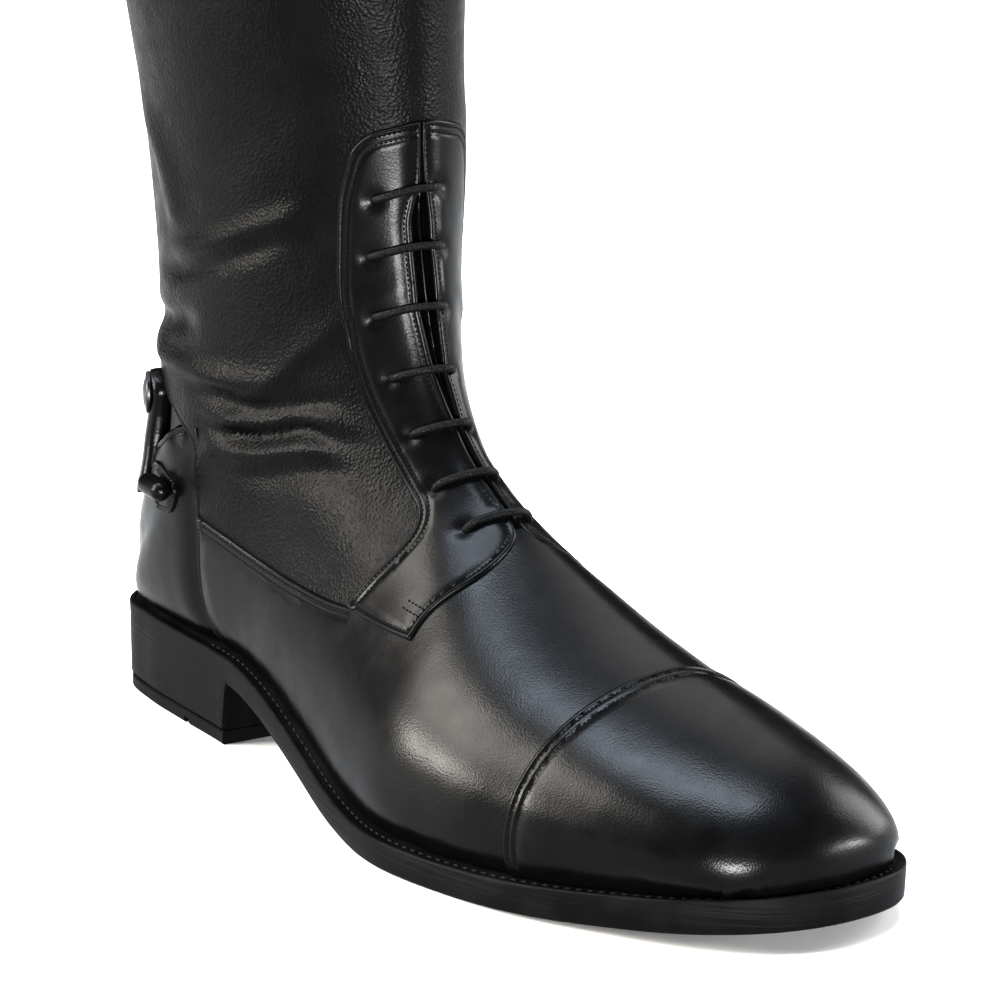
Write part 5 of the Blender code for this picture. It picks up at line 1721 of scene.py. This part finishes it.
        stops = (first, first + 0.02, last - 0.02, last)
        eased = HEEL_BREAST * (1.0 - np.cos(np.linspace(0, math.pi / 2, 60)))
        forward = np.unique(np.concatenate([eased, stops]))
        rings = []
        for one in forward:
            here = np.array([one])
            wide, narrow = ([float(self.sole.right(here, amount, lateral)[0]) for lateral in (True, False)]
                            for amount in (inset, inset + edge))
            floor, ceiling = float(low(here)[0]), TOP_LIFT_THICK
            rings.append([(one, narrow[0], ceiling), (one, wide[0], ceiling - edge),
                          (one, wide[0], floor + edge), (one, narrow[0], floor),
                          (one, narrow[1], floor), (one, wide[1], floor + edge),
                          (one, wide[1], ceiling - edge), (one, narrow[1], ceiling)])
        places = np.array(rings)
        count, columns = places.shape[:2]
        faces = grid_faces(count, columns, close_columns=True)
        faces += [tuple(range(columns)), tuple(reversed(range((count - 1) * columns, count * columns)))]
        piece = mesh_object("top_lift", places.reshape(-1, 3), faces, self.finishes.sole, 40.0)
        settle(piece, "sole_rubber", "heel_top_lift")

    def build_welt(self) -> None:
        """Make the welt with a stitch channel, and the stitches in it."""
        base = self.sole.top
        first, last = self.LIP_WIDTH + 0.05, self.WELT_INSET + self.WELT_WIDTH
        channel = self.STITCH_INSET
        high = WELT_THICK - self.WELT_SINK
        outline = [(first, 0.05), (first, high), (channel - 0.8, high), (channel, high - 0.35),
                   (channel + 0.8, high), (last, high), (last, 0.05)]
        profile = [(inset, lambda f, lift=lift: base(f) + GAP + lift) for inset, lift in reversed(outline)]
        settle(self._band("welt_strip", profile, self.finishes.welt, closed=True), "welt_strip", "welt")
        line = self.sole.inset(channel)
        places = np.column_stack([line, base(line[:, 0]) + GAP + high - 0.1])
        places = places[places[:, 0] > self.STITCH_START]
        piece = self.tree.run("welt_stitches", [places], self.STITCH, self.finishes.welt_thread)
        settle(piece, "welt_strip")

    def build_insole(self) -> None:
        """Make the board inside the foot."""
        base = self.sole.top
        inset, start = self.INSOLE_INSET, self.INSOLE_INSET + self.INSOLE_END
        (places, faces), (low, low_faces) = (
            self._plate(inset, start, TOE_FORWARD - start, lambda f, lift=lift: base(f) + GAP + lift, upward)
            for lift, upward in ((self.INSOLE_TOP, True), (self.INSOLE_LOW, False)))
        faces += [tuple(index + len(places) for index in face) for face in low_faces]
        piece = mesh_object("insole_sheet", np.concatenate([places, low]), faces, self.finishes.insole)
        settle(piece, "insole_board", "insole")


class RearWork:
    """The zip, the guard strap with its snap, and the spur rests."""

    STRAP_WIDTH = 14.0
    STRAP_THICK = 1.6
    STRAP_BACK = -3.0
    STRAP_ENDS = (0.12, 0.14)
    STRAP_ROUND = (0.5, 0.8)
    SNAP_UP = 91.5
    SNAP_RADIUS = 6.0
    SNAP_STEPS = 48
    SNAP_DOME = ((3.6, 1.5), (2.2, 1.8), (0.8, 1.95), (0.05, 2.0))
    SPUR_UP = 70.0
    SPUR_REACH = (115.0, 128.0)
    SPUR_RADIUS = 3.1
    SPUR_OUT = 2.15
    SPUR_END = 0.16
    SPUR_TIP = 0.3
    PATCH_LEVEL = 2.2
    PATCH_THICK = 1.8
    PATCH = side_line((41.0, 67.0), (43.0, 74.0), (47.2, 75.4), (53.2, 73.4), (58.2, 70.0), (57.7, 67.0),
                      (55.0, 63.4), (51.0, 62.6), (44.0, 63.0))
    STITCH = Bead(1.5, 1.2, 0.45)
    ZIP_START = 23.06
    ZIP_STEPS = 160
    ZIP_HALF = 3.4
    COIL = Bead(1.35, 0.95, 1.5)
    COIL_RIGHT = 0.75

    def __init__(self, form: BootForm, finishes: Finishes, tree: RepeatTree) -> None:
        """Keep what the rear is made from."""
        self.form = form
        self.finishes = finishes
        self.tree = tree

    def _back(self, station: Array, right: float, out: Array) -> Array:
        """Return places by the middle of the back: by station, distance right of it and distance out."""
        form = self.form
        step = 0.05
        place = form.place(station, form.length(station, True))
        up = unit(form.place(station + step, form.length(station + step, True))
                  - form.place(station - step, form.length(station - step, True)))
        outward = np.stack([-up[..., 2], np.zeros(up.shape[:-1]), up[..., 0]], axis=-1)
        place = place + outward * out[..., None]
        place[..., 1] = right
        return place

    def build_zip(self) -> None:
        """Make the zip's tape and its two rows of coil."""
        count, half = self.ZIP_STEPS, self.ZIP_HALF
        stations = np.linspace(self.ZIP_START, LAST_STATION - 0.02, count)
        profile = ((-half, -1.3), (-half, -0.7), (-1.2, -0.6), (0.0, -0.5), (1.2, -0.6), (half, -0.7),
                   (half, -1.3))
        places = np.stack([self._back(stations, right, np.full(count, out))
                           for right, out in profile], axis=1)
        piece = mesh_object("zip_strip", places.reshape(-1, 3),
                            turned_over(grid_faces(count, len(profile), close_columns=True)),
                            self.finishes.tape)
        settle(piece, "zip_tape", "zip_tape")
        rows = [self._back(stations, right, np.zeros(count)) for right in (-self.COIL_RIGHT, self.COIL_RIGHT)]
        settle(self.tree.run("zip_coil", rows, self.COIL, self.finishes.tape), "zip_tape")
        for node in ("zip_slider", "zip_pull_tab"):
            for material_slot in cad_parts[node].material_slots:
                material_slot.material = self.finishes.metal

    def _off(self, up: float, reach: float, out: float) -> Array:
        """Return the place at a height and reach, a distance off the upper."""
        station = self.form.at_height(up, np.array([reach]))
        return self.form.place(station, np.array([reach]), np.array([out]))[0]

    def build_strap(self) -> None:
        """Make the padded guard strap and its snap."""
        steps, around = 60, 32
        ups, reaches, stands = np.array(STRAP_LINE).T
        heights = np.linspace(ups[0], ups[-1], steps)
        reach, stand = np.interp(heights, ups, reaches), np.interp(heights, ups, stands)
        base = np.array([self._off(*row) for row in zip(heights, reach, np.zeros(steps))])
        outward = unit(np.array([self._off(*row) for row in zip(heights, reach, np.ones(steps))]) - base)
        deep_half = (stand + self.STRAP_THICK - self.STRAP_BACK) / 2.0
        middle = base + outward * (self.STRAP_BACK + deep_half)[:, None]
        along = unit(np.gradient(middle, axis=0))
        across = np.cross(along, outward)
        share = np.linspace(0.0, 1.0, steps)
        low_end, high_end = self.STRAP_ENDS
        end = np.clip(np.minimum(share / low_end, (1.0 - share) / high_end), 0.0, 1.0)
        half = self.STRAP_WIDTH / 2.0 * np.sqrt(1.0 - (1.0 - end) ** 2) + 0.05
        turn = full_turn(around)
        wide, deep = (np.sign(wave) * np.abs(wave) ** power
                      for wave, power in zip((np.cos(turn), np.sin(turn)), self.STRAP_ROUND))
        places = (middle[:, None] + outward[:, None] * (deep_half[:, None] * deep[None, :])[:, :, None]
                  + across[:, None] * (half[:, None] * wide[None, :])[:, :, None])
        piece = mesh_object("guard_tab", places.reshape(-1, 3), grid_faces(steps, around, close_columns=True),
                            self.finishes.smooth)
        settle(piece, "smooth_leather", "guard_strap")
        index = int(np.argmin(np.abs(heights - self.SNAP_UP)))
        seat = middle[index] + outward[index] * (deep_half[index] + 0.05)
        rim = self.SNAP_RADIUS
        shape = ((rim, 0.0), (rim, 0.7), (rim - 0.5, 1.1), (rim - 1.0, 0.9), (rim - 1.4, 1.0),
                 *self.SNAP_DOME)
        spin = full_turn(self.SNAP_STEPS)[:, None]
        rings = np.array([seat + outward[index] * height + radius * (
            across[index] * np.cos(spin) + along[index] * np.sin(spin)) for radius, height in shape])
        faces = grid_faces(len(shape), self.SNAP_STEPS, close_columns=True)
        snap = mesh_object("snap", rings.reshape(-1, 3), faces, self.finishes.enamel)
        settle(snap, "zip_metal", "snap_cap")

    def build_spur_rests(self) -> None:
        """Make the covered rolls that carry a spur, each on a small stitched patch."""
        steps, around = 40, 20
        share = np.linspace(0.0, 1.0, steps)
        end = np.clip(np.minimum(share, 1.0 - share) / self.SPUR_END, 0.0, 1.0)
        tip = self.SPUR_TIP
        radius = self.SPUR_RADIUS * (tip + (1.0 - tip) * np.sqrt(1.0 - (1.0 - end) ** 2))
        reaches = self.SPUR_REACH[0] + (self.SPUR_REACH[1] - self.SPUR_REACH[0]) * share
        for name, lateral in (("lateral", True), ("medial", False)):
            side = 1.0 if lateral else -1.0
            line = np.array([self._off(self.SPUR_UP, side * reach, self.SPUR_OUT + size)
                             for reach, size in zip(reaches, radius)])
            places = tube(line, radius, around)
            last = (steps - 1) * around
            faces = grid_faces(steps, around, close_columns=True)
            faces += [tuple(range(around))[::-1], tuple(range(last, last + around))]
            piece = mesh_object(f"spur_roll_{name}", places.reshape(-1, 3), faces, self.finishes.smooth)
            settle(piece, "smooth_leather", f"spur_rest_{name}")
            loop = self.form.find(self.PATCH + self.PATCH[:1], lateral)
            panel = Panel(f"spur_patch_{name}", [Stretch(loop, EdgeKind.CUT, (1.3,))], self.PATCH_LEVEL,
                          self.PATCH_THICK, rounding=0.7, spacing=1.1)
            patch, rows = panel.build(self.form, self.finishes.smooth)
            settle(patch, "smooth_leather")
            stitches = self.tree.run(f"spur_stitches_{name}", rows, self.STITCH, self.finishes.thread)
            settle(stitches, "smooth_leather")


@dataclass(frozen=True)
class AreaLight:
    """A soft light: where it stands, how big and how strong it is, and its colour."""

    name: str
    place: Triple
    target: Triple
    size: tuple[float, float]
    power: float
    colour: Triple = (1.0, 1.0, 1.0)

    def add(self) -> None:
        """Add the light to the scene."""
        lamp = bpy.data.lights.new(self.name, "AREA")
        lamp.shape = "RECTANGLE"
        lamp.size, lamp.size_y = self.size
        lamp.energy = self.power
        lamp.color = self.colour
        light = linked(self.name, lamp)
        light.location = self.place
        aim = Vector(self.target) - Vector(self.place)
        light.rotation_euler = aim.to_track_quat("-Z", "Y").to_euler()


@dataclass
class Studio:
    """Camera, floor and light.

    Attributes:
        eye: where the camera stands.
        look: the way it looks.
        roll_deg: how far it is turned about that way.
        lens: its focal length.
        sensor: its sensor's width.
        exposure: stops that the picture is brightened by.
        gamma: the picture's gamma; below 1 it deepens the dark tones.
        floor_half: half the floor's width.
        floor_tones: the floor paint's darkest and lightest grey, which the lights bring up to white.
        surroundings: strength of the even light all round.
        lights: the lights.
    """

    eye: Triple = (-0.618759, -0.985384, 0.3945)
    look: Triple = (0.5235, 0.8115, -0.2602)
    roll_deg: float = -0.5
    lens: float = 162.2
    sensor: float = 36.0
    exposure: float = 0.45
    gamma: float = 0.75
    floor_half: float = 6.0
    floor_tones: tuple[float, float] = (0.36, 0.38)
    surroundings: float = 0.06
    lights: tuple[AreaLight, ...] = (
        AreaLight("window", (-2.4, 1.4, 2.2), (0.0, -0.04, 0.05), (2.0, 1.6), 400.0, (1.0, 0.96, 0.90)),
        AreaLight("overhead", (-0.22, 0.08, 2.1), (-0.02, -0.12, 0.0), (0.7, 1.6), 155.0, (0.80, 0.89, 1.0)),
        AreaLight("side", (-2.4, 1.4, 0.75), (0.0, -0.04, 0.10), (1.4, 0.5), 190.0, (1.0, 0.96, 0.90)),
        AreaLight("back", (1.4, 1.3, 2.4), (0.3, 0.3, 0.0), (1.6, 1.6), 50.0),
        AreaLight("inner", (2.3, -0.2, 1.1), (0.0, 0.0, 0.18), (1.4, 1.8), 130.0),
        AreaLight("front", (1.5, -1.5, 0.30), (0.0, 0.0, 0.12), (0.7, 0.4), 90.0),
        AreaLight("low", (-0.75, -1.15, 0.14), (0.0, 0.0, 0.16), (0.5, 0.24), 74.0))

    def build(self) -> None:
        """Set the camera, the floor, the lights and the plain surroundings."""
        forward = Vector(self.look).normalized()
        right = forward.cross(Vector((0.0, 0.0, 1.0))).normalized()
        up = right.cross(forward)
        turn = Matrix.Rotation(math.radians(self.roll_deg), 3, forward)
        right, up = turn @ right, turn @ up
        camera = bpy.data.cameras.new("camera")
        camera.lens = self.lens
        camera.sensor_width = self.sensor
        view = linked("camera", camera)
        pose = Matrix((right, up, -forward)).transposed().to_4x4()
        pose.translation = Vector(self.eye)
        view.matrix_world = pose
        bpy.context.scene.camera = view
        for light in self.lights:
            light.add()
        nodes = Nodes("floor_paint")
        tone = nodes.spread(nodes.noise(3.0, 2.0), 0.3, 0.7, 0.0, 1.0)
        greys = [(grey, grey, grey) for grey in self.floor_tones]
        nodes.feed("Base Color", nodes.colours(tone, *greys))
        nodes.set(roughness=0.6)
        half = self.floor_half
        mesh = bpy.data.meshes.new("floor")
        mesh.from_pydata([(-half, -half, 0.0), (half, -half, 0.0), (half, half, 0.0), (-half, half, 0.0)], [],
                         [(0, 1, 2, 3)])
        mesh.materials.append(nodes.material)
        floor = linked("floor", mesh)
        world = bpy.data.worlds.new("surroundings")
        world.use_nodes = True
        background = world.node_tree.nodes["Background"]
        background.inputs["Color"].default_value = (1.0, 1.0, 1.0, 1.0)
        background.inputs["Strength"].default_value = self.surroundings
        bpy.context.scene.world = world
        picture = bpy.context.scene.view_settings
        picture.view_transform = "Standard"
        picture.exposure = self.exposure
        picture.gamma = self.gamma


FOLDS = (
    Fold(side_line((40.0, 128.5), (57.5, 132.7), (79.1, 139.1), (96.2, 145.8), (110.0, 151.5)), -2.2, 3.0),
    Fold(side_line((48.0, 134.0), (65.8, 138.8), (87.9, 145.8), (105.7, 153.8), (116.0, 159.0)), 1.8, 3.8),
    Fold(side_line((18.0, 112.5), (33.0, 114.5), (45.7, 116.0), (58.2, 118.2), (74.0, 120.6)),
         -2.6, 3.2, FoldSide.BOTH),
    Fold(side_line((18.0, 108.0), (36.0, 106.6), (47.5, 105.4), (65.3, 106.2), (77.7, 106.0),
                   (92.2, 107.2), (114.0, 110.5)), 2.2, 3.4, FoldSide.BOTH),
    Fold(side_line((50.0, 101.8), (73.7, 101.6), (89.0, 99.9), (102.4, 101.2), (115.3, 104.8),
                   (126.0, 106.0)), -2.1, 2.8),
    Fold(side_line((57.0, 96.0), (77.6, 95.6), (88.3, 95.6), (98.5, 97.4), (106.2, 100.4), (115.6, 101.6),
                   (123.0, 100.2), (134.0, 99.6)),
         1.9, 2.7),
    Fold(side_line((60.0, 94.6), (79.2, 91.4), (87.8, 91.6), (102.7, 95.2), (110.4, 97.4), (118.1, 96.0),
                   (136.0, 95.2)), -2.3, 2.5, FoldSide.BOTH),
    Fold(side_line((68.0, 89.4), (77.5, 87.4), (85.2, 86.6), (96.8, 87.8), (108.9, 91.3), (120.3, 93.0),
                   (134.0, 91.5)), 2.0, 3.2, FoldSide.BOTH),
    Fold(side_line((78.0, 80.0), (99.0, 83.2), (117.6, 87.0), (132.0, 88.0)), -1.0, 3.2),
    Fold(side_line((98.0, 82.0), (122.0, 77.5), (138.0, 71.0), (146.0, 60.0)), 1.6, 9.0),
    Fold(side_line((26.0, 182.0), (50.3, 165.2), (57.0, 151.6), (60.0, 142.0)), 1.4, 6.0),
)


def main() -> None:
    """Build the boot piece by piece, then the studio."""
    logging.basicConfig(level=logging.INFO, format="%(name)s %(message)s")
    finishes, tree = Finishes(), RepeatTree()
    sole = SoleForm()
    form = BootForm(sole, FOLDS)
    Studio().build()
    bottom = SoleWork(sole, finishes, tree)
    bottom.build_outsole()
    bottom.build_top_lift()
    bottom.build_welt()
    bottom.build_insole()
    upper = UpperWork(form, finishes, tree)
    lacing = Lacing()
    upper.build_wall()
    upper.build_shaft()
    upper.build_vamp()
    upper.build_cap()
    upper.build_counter()
    upper.build_facings(lacing.holes(form))
    upper.build_collar()
    upper.build_stitches()
    lacing.build(form, finishes)
    rear = RearWork(form, finishes, tree)
    rear.build_zip()
    rear.build_strap()
    rear.build_spur_rests()


if __name__ == "__main__":
    main()
